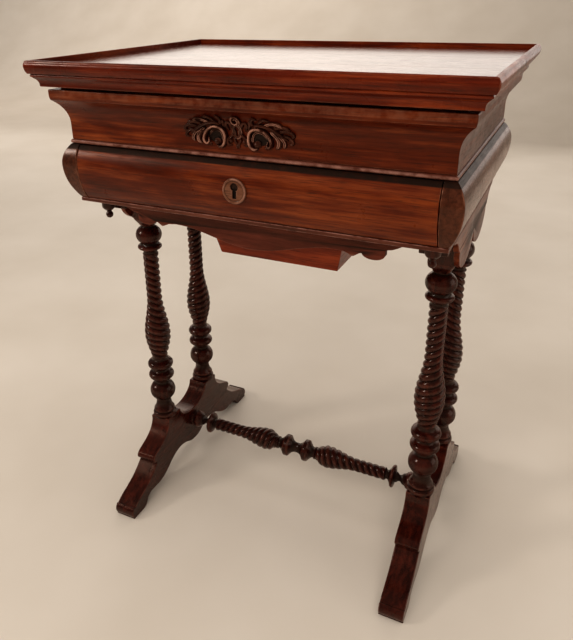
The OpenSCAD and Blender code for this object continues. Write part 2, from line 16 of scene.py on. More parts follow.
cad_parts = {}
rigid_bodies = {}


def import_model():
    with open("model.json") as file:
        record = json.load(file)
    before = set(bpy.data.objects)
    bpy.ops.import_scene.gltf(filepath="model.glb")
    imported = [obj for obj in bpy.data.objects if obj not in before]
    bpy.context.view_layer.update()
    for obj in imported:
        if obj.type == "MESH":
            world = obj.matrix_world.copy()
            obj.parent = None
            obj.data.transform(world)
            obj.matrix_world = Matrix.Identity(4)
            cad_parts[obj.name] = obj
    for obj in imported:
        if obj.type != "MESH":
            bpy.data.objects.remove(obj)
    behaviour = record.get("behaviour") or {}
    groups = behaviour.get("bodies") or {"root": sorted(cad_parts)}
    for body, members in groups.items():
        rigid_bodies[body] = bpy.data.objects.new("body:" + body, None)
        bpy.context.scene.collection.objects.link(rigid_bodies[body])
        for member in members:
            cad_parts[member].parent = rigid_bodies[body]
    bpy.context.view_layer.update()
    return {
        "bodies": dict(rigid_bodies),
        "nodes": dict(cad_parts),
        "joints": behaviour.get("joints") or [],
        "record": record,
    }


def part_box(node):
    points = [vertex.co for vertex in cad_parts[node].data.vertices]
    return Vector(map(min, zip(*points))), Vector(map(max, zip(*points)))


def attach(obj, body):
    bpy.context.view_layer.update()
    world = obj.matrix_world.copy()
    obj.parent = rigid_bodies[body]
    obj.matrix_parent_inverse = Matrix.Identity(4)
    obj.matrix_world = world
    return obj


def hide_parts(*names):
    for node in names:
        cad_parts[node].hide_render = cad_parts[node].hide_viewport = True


MM = 0.001
EDGE = "edge"
HAIR = 0.01
SMOOTH_ANGLE = math.radians(38)
SMOOTH_TURNED = math.radians(60)
SMOOTH_CARVED = math.radians(50)
SMOOTH_PAD = math.radians(80)
QUARTER_POINTS = 5
ROPES = 3
TWIST_PITCH = 33.0
TIP = 0.25
AROUND_LEG = 72
log = logging.getLogger("sewing_table")

Material = bpy.types.Material
Socket = bpy.types.NodeSocket
Thing = bpy.types.Object


# ---------------------------------------------------------------- surfaces


def arc(x: float, z: float, r: float, start: float, end: float, n: int = 12) -> np.ndarray:
    """Points of a circle about (x, z) of radius r, from angle start to angle end in degrees."""
    t = np.radians(np.linspace(start, end, n))
    return np.column_stack((x + r * np.cos(t), z + r * np.sin(t)))


def joined(*parts: Sequence) -> np.ndarray:
    """The points of several lists, one after another, as one array of pairs."""
    return np.vstack([np.atleast_2d(np.asarray(p, float)) for p in parts])


def shifted(rows: Sequence, x: float = 0.0, z: float = 0.0) -> np.ndarray:
    """Pairs moved by x and z."""
    return np.asarray(rows, float) + (x, z)


def signed_area(outline: np.ndarray) -> float:
    """Twice the area of an outline, positive when it runs anticlockwise."""
    x, z = outline[:, 0], outline[:, 1]
    return np.sum(x * np.roll(z, -1) - z * np.roll(x, -1))


def softened(outline: np.ndarray, radius: float, steps: int = 5) -> tuple[np.ndarray, np.ndarray]:
    """Rounds every corner of a closed outline.

    Each corner P becomes the parabola (1-s)^2 A + 2s(1-s) P + s^2 B, where A and B lie on the two
    sides at the same small distance from P.

    Args:
        outline: Points of the outline in order, shape (n, 2).
        radius: Rounding size in millimetres.
        steps: Points on each corner.

    Returns:
        The new outline, and for each point how much it lies on an outer corner (up to 1) or an
        inner one (down to -1).
    """
    before = np.roll(outline, 1, axis=0) - outline
    after = np.roll(outline, -1, axis=0) - outline
    len_b = np.linalg.norm(before, axis=1, keepdims=True)
    len_a = np.linalg.norm(after, axis=1, keepdims=True)
    u, v = before / len_b, after / len_a
    reach = np.minimum(radius, 0.45 * np.minimum(len_b, len_a))
    s = np.linspace(0, 1, steps)[None, :, None]
    a, b, p = (outline + u * reach)[:, None], (outline + v * reach)[:, None], outline[:, None]
    points = (1 - s) ** 2 * a + 2 * s * (1 - s) * p + s**2 * b
    turn = np.arctan2(u[:, 0] * v[:, 1] - u[:, 1] * v[:, 0], -(u * v).sum(1))
    sign = -np.sign(signed_area(outline)) * np.clip(turn / math.radians(55), -1, 1)
    edge = sign[:, None] * (4 * s[0, :, 0] * (1 - s[0, :, 0]))[None]
    return points.reshape(-1, 2), edge.ravel()


def spline(points: Sequence, n: int) -> np.ndarray:
    """A smooth curve through the given points: Catmull-Rom, sampled n times, any number of columns."""
    p = np.asarray(points, float)
    p = np.vstack((2 * p[0] - p[1], p, 2 * p[-1] - p[-2]))
    t = np.linspace(0, len(p) - 3 - 1e-9, n)
    i = t.astype(int)
    f = (t - i)[:, None]
    a, b, c, d = p[i], p[i + 1], p[i + 2], p[i + 3]
    return 0.5 * (2 * b + (c - a) * f + (2 * a - 5 * b + 4 * c - d) * f**2 + (3 * b - a - 3 * c + d) * f**3)


@dataclass
class Shell:
    """Closed surfaces made of rings, gathered into one mesh."""

    points: list = field(default_factory=list)
    edges: list = field(default_factory=list)
    loops: list = field(default_factory=list)
    sizes: list = field(default_factory=list)
    count: int = 0

    def loft(self, rings: np.ndarray, edge: np.ndarray | float = 0.0) -> "Shell":
        """Adds a surface through rings of equal point count, closed round, with flat ends.

        Args:
            rings: Points, shape (rows, columns, 3), in millimetres.
            edge: Corner measure for each point, or one value.

        Returns:
            This shell.
        """
        rows, cols = rings.shape[:2]
        index = self.count + np.arange(rows * cols).reshape(rows, cols)
        nxt = np.roll(index, -1, axis=1)
        quads = np.stack((index[:-1], nxt[:-1], nxt[1:], index[1:]), -1).reshape(-1, 4)
        flat = rings.reshape(-1, 3)
        corner = flat[quads - self.count]
        volume = np.einsum("ij,ij->i", corner[:, 0], np.cross(corner[:, 1], corner[:, 2])).sum()
        volume += np.einsum("ij,ij->i", corner[:, 0], np.cross(corner[:, 2], corner[:, 3])).sum()
        for cap in (rings[0][::-1], rings[-1]):
            volume += np.einsum("ij,ij->i", cap[:1].repeat(cols - 2, 0), np.cross(cap[1:-1], cap[2:])).sum()
        inside_out = volume < 0
        quads = quads[:, ::-1] if inside_out else quads
        caps = [index[0][::-1], index[-1]]
        caps = [c[::-1] for c in caps] if inside_out else caps
        self.points.append(flat)
        self.edges.append(np.broadcast_to(np.asarray(edge, float), (rows, cols)).ravel())
        self.loops += [quads.ravel(), *caps]
        self.sizes += [np.full(len(quads), 4), [cols], [cols]]
        self.count += rows * cols
        return self

    def object(self, name: str, angle: float = SMOOTH_ANGLE) -> Thing:
        """Makes the Blender object, in metres, smooth but for creases sharper than angle."""
        mesh = bpy.data.meshes.new(name)
        co = np.concatenate(self.points) * MM
        loops = np.concatenate(self.loops).astype(np.int32)
        sizes = np.concatenate([np.asarray(s) for s in self.sizes]).astype(np.int32)
        mesh.vertices.add(len(co))
        mesh.vertices.foreach_set("co", co.astype(np.float32).ravel())
        mesh.loops.add(len(loops))
        mesh.loops.foreach_set("vertex_index", loops)
        mesh.polygons.add(len(sizes))
        mesh.polygons.foreach_set("loop_start", (np.cumsum(sizes) - sizes).astype(np.int32))
        mesh.update(calc_edges=True)
        mesh.validate()
        worn = mesh.attributes.new(EDGE, "FLOAT", "POINT")
        worn.data.foreach_set("value", np.concatenate(self.edges).astype(np.float32))
        mesh.shade_smooth()
        mesh.set_sharp_from_angle(angle=angle)
        piece = bpy.data.objects.new(name, mesh)
        bpy.context.scene.collection.objects.link(piece)
        flat = piece.modifiers.new("flat_faces_stay_flat", "WEIGHTED_NORMAL")
        flat.keep_sharp = True
        return piece


def block(shell: Shell, low: Sequence, high: Sequence, soft: float) -> Shell:
    """A board with softened edges: rounded rectangles stacked upwards, drawn in at both ends.

    Args:
        shell: The shell to add to.
        low: Lowest corner in millimetres.
        high: Highest corner in millimetres.
        soft: Rounding of every edge.

    Returns:
        The same shell.
    """
    (x0, y0, z0), (x1, y1, z1) = low, high
    t = np.radians(np.linspace(0, 90, QUARTER_POINTS))
    inset = np.concatenate((soft * (1 - np.sin(t)), soft * (1 - np.cos(t))))
    level = np.concatenate((z0 + soft * (1 - np.cos(t)), z1 - soft + soft * np.sin(t)))
    worn = np.concatenate((np.sin(2 * t), np.sin(2 * t)))
    return stack(shell, level, x0 + inset, x1 - inset, y0 + inset, y1 - inset, soft, worn)


def stack(shell: Shell, level: np.ndarray, x0: np.ndarray, x1: np.ndarray, y0: np.ndarray, y1: np.ndarray,
          soft: float, worn: np.ndarray | float = 0.0) -> Shell:
    """A block whose plan at each level is a rounded rectangle of its own size.

    Each corner is a quarter circle, so a ring is centre + soft * (cos t, sin t) for t once round.

    Args:
        shell: The shell to add to.
        level: Heights of the rings.
        x0, x1, y0, y1: Sides of the plan at each height.
        soft: Radius of the upright edges.
        worn: Corner measure of each ring.

    Returns:
        The same shell.
    """
    t = np.radians(np.linspace(0, 90, QUARTER_POINTS))
    quarter = [np.stack((np.cos(t + k * math.pi / 2), np.sin(t + k * math.pi / 2)), -1) for k in range(4)]
    sides = ((x1, y1), (x0, y1), (x0, y0), (x1, y0))
    signs = ((-1, -1), (1, -1), (1, 1), (-1, 1))
    parts = []
    for (x, y), (sx, sy), q in zip(sides, signs, quarter):
        cx, cy = np.asarray(x) + sx * soft, np.asarray(y) + sy * soft
        parts.append(np.stack((cx[:, None] + soft * q[None, :, 0], cy[:, None] + soft * q[None, :, 1]), -1))
    plan = np.concatenate(parts, axis=1)
    height = np.broadcast_to(np.asarray(level)[:, None, None], plan.shape[:2] + (1,))
    rings = np.concatenate((plan, height), -1)
    corner = np.tile(np.sin(2 * t), 4)[None] * np.ones((len(level), 1))
    corner[[0, -1]] = 0.0
    mark = np.broadcast_to(np.asarray(worn, float), (len(level),))[:, None]
    # Negative ring marks, such as the painted shadow under the board above, win over the corners' wear.
    return shell.loft(rings, np.where(mark < 0, mark, np.maximum(corner, mark)))


def turned(shell: Shell, profile: np.ndarray, place: Callable[[np.ndarray], np.ndarray], around: int,
           ropes: int = 0, pitch: float = 1.0, depth: np.ndarray | float = 0.0,
           edge: np.ndarray | float = 0.0) -> Shell:
    """A turned piece, with rope twist where depth isn't nought.

    The radius at height h and angle a is r(h) - depth(h) * (1 - |sin(p / 2)|^0.75), with
    p = ropes * (a - 2 pi |h| / pitch). The grid's columns follow the twist, and a piece with its
    middle at h = 0 winds the other way on its other half.

    Args:
        shell: The shell to add to.
        profile: Pairs of radius and height.
        place: Turns (x, y, height) rows into the frame's axes.
        around: Points round the piece.
        ropes: Number of ropes.
        pitch: Height of one whole turn; negative winds the other way.
        depth: Depth of the grooves at each height.
        edge: Corner measure at each height.

    Returns:
        The same shell.
    """
    r, h = profile[:, 0][:, None], profile[:, 1][:, None]
    phase = np.linspace(0, 2 * np.pi, around, endpoint=False)[None]
    swirl = 2 * np.pi * np.abs(h) / pitch if ropes else 0 * h
    ridge = np.abs(np.sin(ropes * phase / 2)) ** 0.75 if ropes else np.ones_like(phase)
    cut = np.broadcast_to(np.asarray(depth, float), (len(profile),))[:, None]
    radius = r - cut * (1 - ridge)
    angle = phase + swirl
    rings = np.stack((radius * np.cos(angle), radius * np.sin(angle), h + 0 * angle), -1)
    marks = np.broadcast_to(np.asarray(edge, float), (len(profile),))[:, None] + 0 * phase
    if ropes:
        marks = np.where(cut > 0, cut / max(cut.max(), 1e-6) * (1.7 * ridge - 1.1), marks)
    return shell.loft(place(rings), marks)


def twist_bulb(levels: Sequence, rise: Sequence, fall: Sequence, fade: Sequence, deep: float,
               n: int) -> tuple[np.ndarray, np.ndarray]:
    """A rope-turned bulb, thickest at its crest.

    With u and v running from 0 to 1 below and above the crest, the radius is
    r0 + r1 sin(pi u / 2)^r2 for rise, and f0 + f1 (0.5 + 0.5 cos(pi v))^f2 for fall.

    Args:
        levels: Heights of the start, the crest, the end of the fall, and the end.
        rise: r0, r1 and r2.
        fall: f0, f1 and f2.
        fade: Heights over which the grooves deepen at the start and run out at the end.
        deep: Depth of the grooves.
        n: Number of points.

    Returns:
        Pairs of radius and height, and the depth of the grooves at each.
    """
    start, crest, tail, end = levels
    h = np.linspace(start, end, n)
    u = np.clip((h - start) / (crest - start), 0, 1)
    v = np.clip((h - crest) / (tail - crest), 0, 1)
    up = rise[0] + rise[1] * np.sin(u * np.pi / 2) ** rise[2]
    down = fall[0] + fall[1] * (0.5 + 0.5 * np.cos(np.pi * v)) ** fall[2]
    share = np.clip(np.minimum((h - start) / fade[0], (end - h) / fade[1]), 0, 1)
    return np.column_stack((np.where(h < crest, up, down), h)), deep * np.sin(share * np.pi / 2)


def turning_marks(profile: np.ndarray, bend: float, thin: float, hollow: float) -> np.ndarray:
    """Corner measure of a turned profile: high on beads, at most hollow where it's thinner than thin."""
    mark = np.clip(-np.gradient(np.gradient(profile[:, 0])) / bend, -1, 0.9)
    return np.where(profile[:, 0] < thin, np.minimum(mark, hollow), mark)


def run(shell: Shell, outline: np.ndarray, edge: np.ndarray, half_len: float, half_off: float, turn: int,
        bend: float = 1.2, bite: Callable[[np.ndarray], np.ndarray] | None = None,
        stations: Sequence = ()) -> Shell:
    """A mitred moulding on one side of the table: an outline of (inset, z) carried along that side.

    Each end follows a rounded corner in plan. With r = max(bend - depth, 0.05) for a point of inset
    i, it lies at x = half_len - i - r (1 - sin p) and y = -half_off + i + r (1 - cos p), for p up
    to 45 degrees, where the next side takes over.

    Args:
        shell: The shell to add to.
        outline: Pairs of inset and height.
        edge: Corner measure of each point.
        half_len: Half the length of the side.
        half_off: Distance of the side from the middle.
        turn: Quarter turns about Z, 0 for the front.
        bend: Radius of the corner in plan at the outermost point.
        bite: Gives the heights that are added to the outline at each x.
        stations: Extra places along x, in millimetres.

    Returns:
        The same shell.
    """
    shy = 0.12
    inset, level = outline[:, 0][None], outline[:, 1][None]
    radius = np.maximum(bend - (inset - inset.min()), 0.05)
    angle = np.radians([45, 44, 33, 22, 11, 0])[:, None]
    tail = half_len - inset - radius * (1 - np.sin(angle)) - shy
    bow = radius * (1 - np.cos(angle))
    middle = np.unique(np.concatenate(([0.0], np.asarray(stations, float))))[:, None] + 0 * inset
    x = np.concatenate((-tail, middle, tail[::-1]))
    y = -half_off + inset + np.concatenate((bow, 0 * middle, bow[::-1]))
    z = level + 0 * x
    if bite is not None:
        z = z + bite(x)
    mid = outline.mean(0)
    tuck = np.zeros((len(x), 1))
    tuck[[0, -1]] = shy
    y, z = y + tuck * np.sign(mid[0] - inset), z + tuck * np.sign(mid[1] - level)
    rings = np.stack((x, y, z), -1)
    ends_worn = 0.75 * (tuck > 0)
    round_at = np.concatenate((np.sin(2 * angle), 0 * middle[:, :1], np.sin(2 * angle)[::-1]))
    rounding = 0.55 * np.clip(radius / 4, 0, 1) * round_at
    mark = np.maximum(np.maximum(edge[None] + 0 * x, ends_worn), rounding)
    return shell.loft(quarter_turned(rings, turn), mark)


def quarter_turned(points: np.ndarray, turn: int) -> np.ndarray:
    """The points turned about Z by a number of quarter turns."""
    c, s = ((1, 0), (0, 1), (-1, 0), (0, -1))[turn % 4]
    x, y, z = np.moveaxis(points, -1, 0)
    return np.stack((c * x - s * y, s * x + c * y, z), -1)


def sawn(shell: Shell, outline: np.ndarray, start: float, end: float, axis: str, soft: float = 1.2,
         corner: float = 2.0) -> Shell:
    """A shaped board: a flat outline given thickness along an axis, with softened rims.

    Row k is the outline drawn in by soft * (1 - sin t) along its normals, at a depth of
    soft * (1 - cos t), so both faces end in a quarter round. Where the outline turns sharply, the
    rows are drawn in by less, so that they don't cross themselves.

    Args:
        shell: The shell to add to.
        outline: Pairs (x or y, z), in order round the board.
        start: Where the board begins along the axis.
        end: Where it ends.
        axis: "x" or "y", the way the thickness runs.
        soft: Radius of the rims.
        corner: Rounding of the outline's corners.

    Returns:
        The same shell.
    """
    line, edge = softened(outline, corner, 4)
    ahead, back = np.roll(line, -1, axis=0) - line, line - np.roll(line, 1, axis=0)
    along = ahead / np.maximum(np.linalg.norm(ahead, axis=1, keepdims=True), 1e-9)
    along = along + back / np.maximum(np.linalg.norm(back, axis=1, keepdims=True), 1e-9)
    along /= np.maximum(np.linalg.norm(along, axis=1, keepdims=True), 1e-9)
    normal = np.column_stack((along[:, 1], -along[:, 0]))
    way = np.sign(signed_area(line))
    normal *= way
    across = back[:, 0] * ahead[:, 1] - back[:, 1] * ahead[:, 0]
    turn = np.arctan2(across, (back * ahead).sum(1)) * way
    span = 0.5 * (np.linalg.norm(ahead, axis=1) + np.linalg.norm(back, axis=1))
    tight = np.where(turn > 0.02, 0.8 * span / np.maximum(turn, 1e-3), 1e3)
    tight = np.minimum.reduce([np.roll(tight, k) for k in range(-3, 4)])
    share = np.minimum(1.0, tight / soft)[None]
    t = np.radians(np.linspace(0, 90, QUARTER_POINTS))
    inset = share * np.concatenate((soft * (1 - np.sin(t)), soft * (1 - np.cos(t))))[:, None]
    depth = np.concatenate((start + soft * (1 - np.cos(t)), end - soft + soft * np.sin(t)))[:, None]
    u = line[:, 0][None] - inset * normal[:, 0][None]
    z = line[:, 1][None] - inset * normal[:, 1][None]
    d = depth + 0 * u
    rings = np.stack((d, u, z) if axis == "x" else (u, d, z), -1)
    rim = np.concatenate((np.sin(2 * t), np.sin(2 * t)))[:, None]
    return shell.loft(rings, np.where(edge[None] < -0.2, edge[None] + 0 * rim, np.maximum(edge[None], rim)))


def mirrored(half: np.ndarray) -> np.ndarray:
    """A closed outline from its right half, drawn from the middle outwards."""
    left = half[::-1] * (-1, 1)
    return np.vstack((half, left[left[:, 0] < -1e-6]))


# ---------------------------------------------------------------- finishes


class Grain(Enum):
    """Which way the fibres of a wooden piece run, as how far the pattern is drawn out on each axis."""

    X = (0.045, 1.0, 1.0)
    Y = (1.0, 0.045, 1.0)
    Z = (1.0, 1.0, 0.045)


class Nodes:
    """A material's nodes, with short calls for those that the finishes share."""

    def __init__(self, name: str) -> None:
        """Makes an empty material called name."""
        self.material = bpy.data.materials.new(name)
        self.material.use_nodes = True
        self.tree = self.material.node_tree
        self.shader = self.tree.nodes["Principled BSDF"]

    def node(self, kind: str, inputs: dict | None = None, **settings: object) -> bpy.types.Node:
        """Adds a node; inputs are values or sockets by name or number."""
        made = self.tree.nodes.new("ShaderNode" + kind)
        for key, value in settings.items():
            setattr(made, key, value)
        for key, value in (inputs or {}).items():
            self.join(value, made.inputs[key])
        return made

    def join(self, value: object, socket: Socket) -> None:
        """Links a socket to an input, or sets the input's value."""
        if isinstance(value, Socket):
            self.tree.links.new(value, socket)
        else:
            socket.default_value = value

    def place(self, stretch: Sequence = (1, 1, 1), offset: Sequence = (0, 0, 0)) -> Socket:
        """Object coordinates, drawn out and shifted."""
        where = self.node("TexCoord").outputs["Object"]
        values = {"Vector": where, "Scale": tuple(stretch), "Location": tuple(offset)}
        return self.node("Mapping", values).outputs[0]

    def noise(self, vector: Socket, scale: float, detail: float = 4.0, rough: float = 0.55,
              warp: float = 0.0) -> Socket:
        """Smooth random values from 0 to 1."""
        values = {"Vector": vector, "Scale": scale, "Detail": detail, "Roughness": rough,
                  "Distortion": warp}
        return self.node("TexNoise", values).outputs["Fac"]

    def ramp(self, value: Socket, stops: Sequence) -> Socket:
        """Colours spread over a value; stops are (place, colour)."""
        made = self.node("ValToRGB", {"Fac": value})
        marks = made.color_ramp.elements
        while len(marks) < len(stops):
            marks.new(0.5)
        for mark, (where, colour) in zip(marks, stops):
            mark.position = where
            mark.color = (*colour, 1.0)
        return made.outputs["Color"]

    def between(self, value: Socket, low: float, high: float, out_low: float = 0.0,
                out_high: float = 1.0) -> Socket:
        """The value carried from low..high to out_low..out_high, clamped."""
        values = {"Value": value, 1: low, 2: high, 3: out_low, 4: out_high}
        return self.node("MapRange", values, clamp=True).outputs[0]

    def sum(self, way: str, a: object, b: object) -> Socket:
        """One step of arithmetic on two values."""
        return self.node("Math", {0: a, 1: b}, operation=way).outputs[0]

    def mix(self, share: object, a: object, b: object) -> Socket:
        """Two colours blended by a share."""
        made = self.node("Mix", data_type="RGBA")
        self.join(share, made.inputs[0])
        self.join((*a, 1.0) if isinstance(a, tuple) else a, made.inputs[6])
        self.join((*b, 1.0) if isinstance(b, tuple) else b, made.inputs[7])
        return made.outputs[2]

    def bump(self, height: Socket, strength: float, deep: float,
             under: Socket | None = None) -> Socket:
        """A surface normal tilted by a height pattern, deep in metres."""
        values = {"Height": height, "Strength": strength, "Distance": deep}
        made = self.node("Bump", values)
        if under is not None:
            self.join(under, made.inputs["Normal"])
        return made.outputs["Normal"]

    def edge(self) -> Socket:
        """The piece's own corner measure: 1 on a worn outer corner, -1 in a hollow; pieces also set it for
        painted shade and painted highlights.
        """
        return self.node("Attribute", attribute_name=EDGE, attribute_type="GEOMETRY").outputs["Fac"]


@dataclass(frozen=True)
class Wood:
    """Polished wood: long grain, open pores, broad figure, worn edges, dark hollows, painted shade and
    highlights.
    """

    name: str
    dark: tuple
    mid: tuple
    light: tuple
    worn: tuple = (0.28, 0.12, 0.07)
    # Near-black colour for dirt in the pores and hollows, and for painted shade.
    grime_and_shade: tuple = (0.012, 0.006, 0.004)
    gloss: float = 0.22
    coat: float = 0.35
    wear: float = 0.7
    figure: float = 0.45
    pores: float = 0.5
    texture: float = 0.12
    smear: float = 0.12
    shellac: tuple = (1.0, 0.66, 0.48)

    def material(self, grain: Grain, shift: float = 0.0) -> Material:
        """Builds the material.

        Args:
            grain: Which way the fibres run.
            shift: Moves the pattern, so that neighbouring boards differ.

        Returns:
            The material.
        """
        n = Nodes(f"{self.name}_{grain.name.lower()}_{int(shift * 10)}")
        offset = (shift, shift * 0.7, shift * 1.3)
        long = n.place(grain.value, offset)
        wide = n.place([0.35 + 0.65 * (v > 0.5) for v in grain.value], offset)
        streak = n.noise(long, 170, 7, 0.62, 0.25)
        broad = n.noise(wide, 11, 4, 0.6, 0.9)
        patch = n.noise(wide, 38, 3, 0.55, 0.4)
        tone = n.sum("ADD", n.sum("MULTIPLY", streak, 1 - self.figure),
                     n.sum("MULTIPLY", broad, self.figure))
        tone = n.sum("ADD", tone, n.sum("MULTIPLY", n.sum("SUBTRACT", patch, 0.5), 0.22))
        colour = n.ramp(tone, ((0.33, self.dark), (0.5, self.mid), (0.68, self.light)))
        pore = n.between(n.noise(long, 950, 2, 0.5), 0.56, 0.68)
        colour = n.mix(n.sum("MULTIPLY", pore, self.pores), colour, self.grime_and_shade)
        mark = n.edge()
        rub = n.noise(n.place(offset=offset), 70, 4, 0.65)
        # High marks take the pale worn colour: wear, and painted highlight on the carving's crests and
        # balls.
        wear_and_highlight = n.sum("MULTIPLY", n.between(mark, 0.25, 0.95), n.between(rub, 0.38, 0.6))
        wear_and_highlight = n.sum("MULTIPLY", wear_and_highlight, self.wear)
        colour = n.mix(wear_and_highlight, colour, self.worn)
        # Low marks darken towards the near-black colour: dark hollows, and painted shade under the beaded
        # board, in the keyholes and on the carving's sunk grounds.
        hollow = n.sum("MULTIPLY", n.between(mark, -0.15, -0.8), n.between(rub, 0.2, 0.5, 0.7, 1.0))
        colour = n.mix(hollow, colour, self.grime_and_shade)
        n.join(colour, n.shader.inputs["Base Color"])
        smear = n.noise(n.place(offset=offset), 24, 3, 0.6, 0.6)
        rough = n.sum("ADD", n.between(smear, 0.3, 0.7, self.gloss, self.gloss + self.smear),
                      n.sum("MULTIPLY", n.sum("ADD", wear_and_highlight, hollow), 0.25))
        rough = n.sum("ADD", rough, n.sum("MULTIPLY", pore, 0.12))
        n.join(rough, n.shader.inputs["Roughness"])
        n.shader.inputs["Coat Weight"].default_value = self.coat
        n.shader.inputs["Coat Roughness"].default_value = 0.12
        n.shader.inputs["Specular IOR Level"].default_value = 0.3
        n.shader.inputs["Specular Tint"].default_value = (*self.shellac, 1)
        n.shader.inputs["Coat Tint"].default_value = (*self.shellac, 1)
        swell = n.bump(n.noise(n.place(offset=offset), 30, 2, 0.5), self.texture, 0.003)
        fibre = n.bump(n.sum("SUBTRACT", streak, pore), self.texture, 0.0006, swell)
        n.join(fibre, n.shader.inputs["Normal"])
        return n.material


@dataclass(frozen=True)
class Brass:
    """Old yellow brass, dulled and spotted."""

    name: str = "old_brass"

    def material(self, grain: Grain = Grain.X, shift: float = 0.0) -> Material:
        """Builds the material; grain is the way of its fine scratches."""
        n = Nodes(f"{self.name}_{grain.name.lower()}")
        here = n.place()
        spots = n.noise(here, 120, 5, 0.6)
        scratch = n.noise(n.place(grain.value), 1500, 2, 0.5)
        tones = ((0.3, (0.10, 0.06, 0.02)), (0.5, (0.42, 0.28, 0.09)), (0.7, (0.60, 0.43, 0.17)))
        colour = n.ramp(spots, tones)
        n.join(colour, n.shader.inputs["Base Color"])
        n.shader.inputs["Metallic"].default_value = 1.0
        n.join(n.between(spots, 0.3, 0.7, 0.5, 0.24), n.shader.inputs["Roughness"])
        n.join(n.bump(scratch, 0.15, 0.0003), n.shader.inputs["Normal"])
        return n.material


@dataclass(frozen=True)
class Velvet:
    """Short-piled cloth, lighter and darker in soft patches."""

    name: str = "crimson_velvet"
    deep: tuple = (0.045, 0.004, 0.010)
    light: tuple = (0.20, 0.018, 0.035)

    def material(self, grain: Grain = Grain.X, shift: float = 0.0) -> Material:
        """Builds the material; the pile leans in soft patches."""
        n = Nodes(self.name)
        lean = n.noise(n.place(), 34, 3, 0.5, 0.5)
        pile = n.noise(n.place(), 2600, 2, 0.6)
        tone = n.sum("ADD", n.sum("MULTIPLY", lean, 0.7), n.sum("MULTIPLY", pile, 0.3))
        n.join(n.ramp(tone, ((0.35, self.deep), (0.68, self.light))), n.shader.inputs["Base Color"])
        n.shader.inputs["Roughness"].default_value = 0.9
        n.shader.inputs["Sheen Weight"].default_value = 0.8
        n.shader.inputs["Sheen Roughness"].default_value = 0.35
        n.shader.inputs["Sheen Tint"].default_value = (0.9, 0.35, 0.4, 1.0)
        n.join(n.bump(pile, 0.5, 0.0006), n.shader.inputs["Normal"])
        return n.material


FRONT = Wood("mahogany_case", (0.022, 0.0020, 0.0004), (0.088, 0.0120, 0.0024), (0.22, 0.048, 0.011),
             gloss=0.26, coat=0.06)
TOP = Wood("mahogany_top", (0.060, 0.014, 0.007), (0.12, 0.032, 0.017), (0.19, 0.062, 0.036),
           gloss=0.22, coat=0.5, figure=0.35, texture=0.03, smear=0.05, pores=0.25,
           shellac=(1.0, 0.98, 0.96))
RIM = Wood("mahogany_rim", (0.028, 0.0020, 0.0004), (0.100, 0.0105, 0.0020), (0.26, 0.047, 0.010),
           gloss=0.24, coat=0.12, texture=0.07)
DARK = Wood("mahogany_turned", (0.005, 0.0009, 0.0005), (0.023, 0.0036, 0.0019), (0.066, 0.0115, 0.0060),
            gloss=0.2, coat=0.3, wear=0.5, worn=(0.17, 0.060, 0.040), pores=0.3)
POST = Wood("mahogany_post", (0.022, 0.0055, 0.0022), (0.072, 0.0210, 0.0090), (0.15, 0.053, 0.026),
            coat=0.2, texture=0.06)
CEDAR = Wood("red_cedar", (0.09, 0.010, 0.0025), (0.20, 0.026, 0.006), (0.36, 0.065, 0.016),
             gloss=0.34, coat=0.15)
PINE = Wood("pine", (0.22, 0.12, 0.045), (0.36, 0.21, 0.09), (0.48, 0.31, 0.15),
            gloss=0.55, coat=0.0, pores=0.15, worn=(0.4, 0.27, 0.15), wear=0.3)
# The carving's pale worn colour is wear and painted highlight on its crests and balls; its near-black colour
# paints shade in the sunk grounds and the keyhole.
CARVED = Wood("mahogany_carved", (0.010, 0.0024, 0.0012), (0.034, 0.0086, 0.0043), (0.10, 0.030, 0.016),
              gloss=0.3, coat=0.15, wear=1.0, worn=(0.46, 0.25, 0.18), grime_and_shade=(0.005, 0.0022, 0.0014),
              pores=0.2)
SHADE = Wood("mahogany_apron", (0.034, 0.0065, 0.0035), (0.080, 0.0165, 0.0085), (0.15, 0.036, 0.020),
             gloss=0.4, coat=0.1)
# Its near-black colour paints the shade inside the keyhole.
RING = Wood("mahogany_ring", (0.060, 0.020, 0.010), (0.12, 0.046, 0.024), (0.21, 0.10, 0.058),
            gloss=0.36, coat=0.1, wear=1.0, worn=(0.30, 0.16, 0.115), grime_and_shade=(0.0012, 0.0006, 0.0005))
FILLET = Wood("mahogany_fillet", (0.030, 0.0070, 0.0040), (0.085, 0.0240, 0.0140), (0.17, 0.062, 0.040),
              gloss=0.32, coat=0.2, wear=1.0, worn=(0.32, 0.17, 0.135))
Finish = Wood | Brass | Velvet
BRASS = Brass()
VELVET = Velvet()


_made: dict = {}


def finish_of(finish: Finish, grain: Grain = Grain.X, shift: float = 0.0) -> Material:
    """The material of a finish, made once for each way of the grain and shift."""
    key = (finish.name, grain, shift)
    if key not in _made:
        _made[key] = finish.material(grain, shift)
    return _made[key]


def dress(piece: Thing, finish: Finish, slot: str, body: str, *nodes: str,
          grain: Grain = Grain.X, shift: float = 0.0) -> Thing:
    """Gives a new piece its finish and body, and hides the CAD nodes that it stands for.

    Args:
        piece: The new piece.
        finish: Its finish.
        slot: The record's material slot; not used.
        body: The CAD body that it rides on.
        nodes: CAD nodes that it replaces.
        grain: Which way its fibres run.
        shift: Moves the pattern.

    Returns:
        The piece.
    """
    piece.data.materials.append(finish_of(finish, grain, shift))
    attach(piece, body)
    if nodes:
        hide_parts(*nodes)
    log.info("%s: %d faces, rides on %s", piece.name, len(piece.data.polygons), body)
    return piece


def four_sides(half_w: float, half_d: float) -> list[tuple[int, float, float, Grain]]:
    """For front, right, back and left: quarter turns, half length, distance out and way of the grain."""
    wide, deep = (half_w, half_d, Grain.X), (half_d, half_w, Grain.Y)
    return [(turn, *(deep if turn % 2 else wide)) for turn in range(4)]


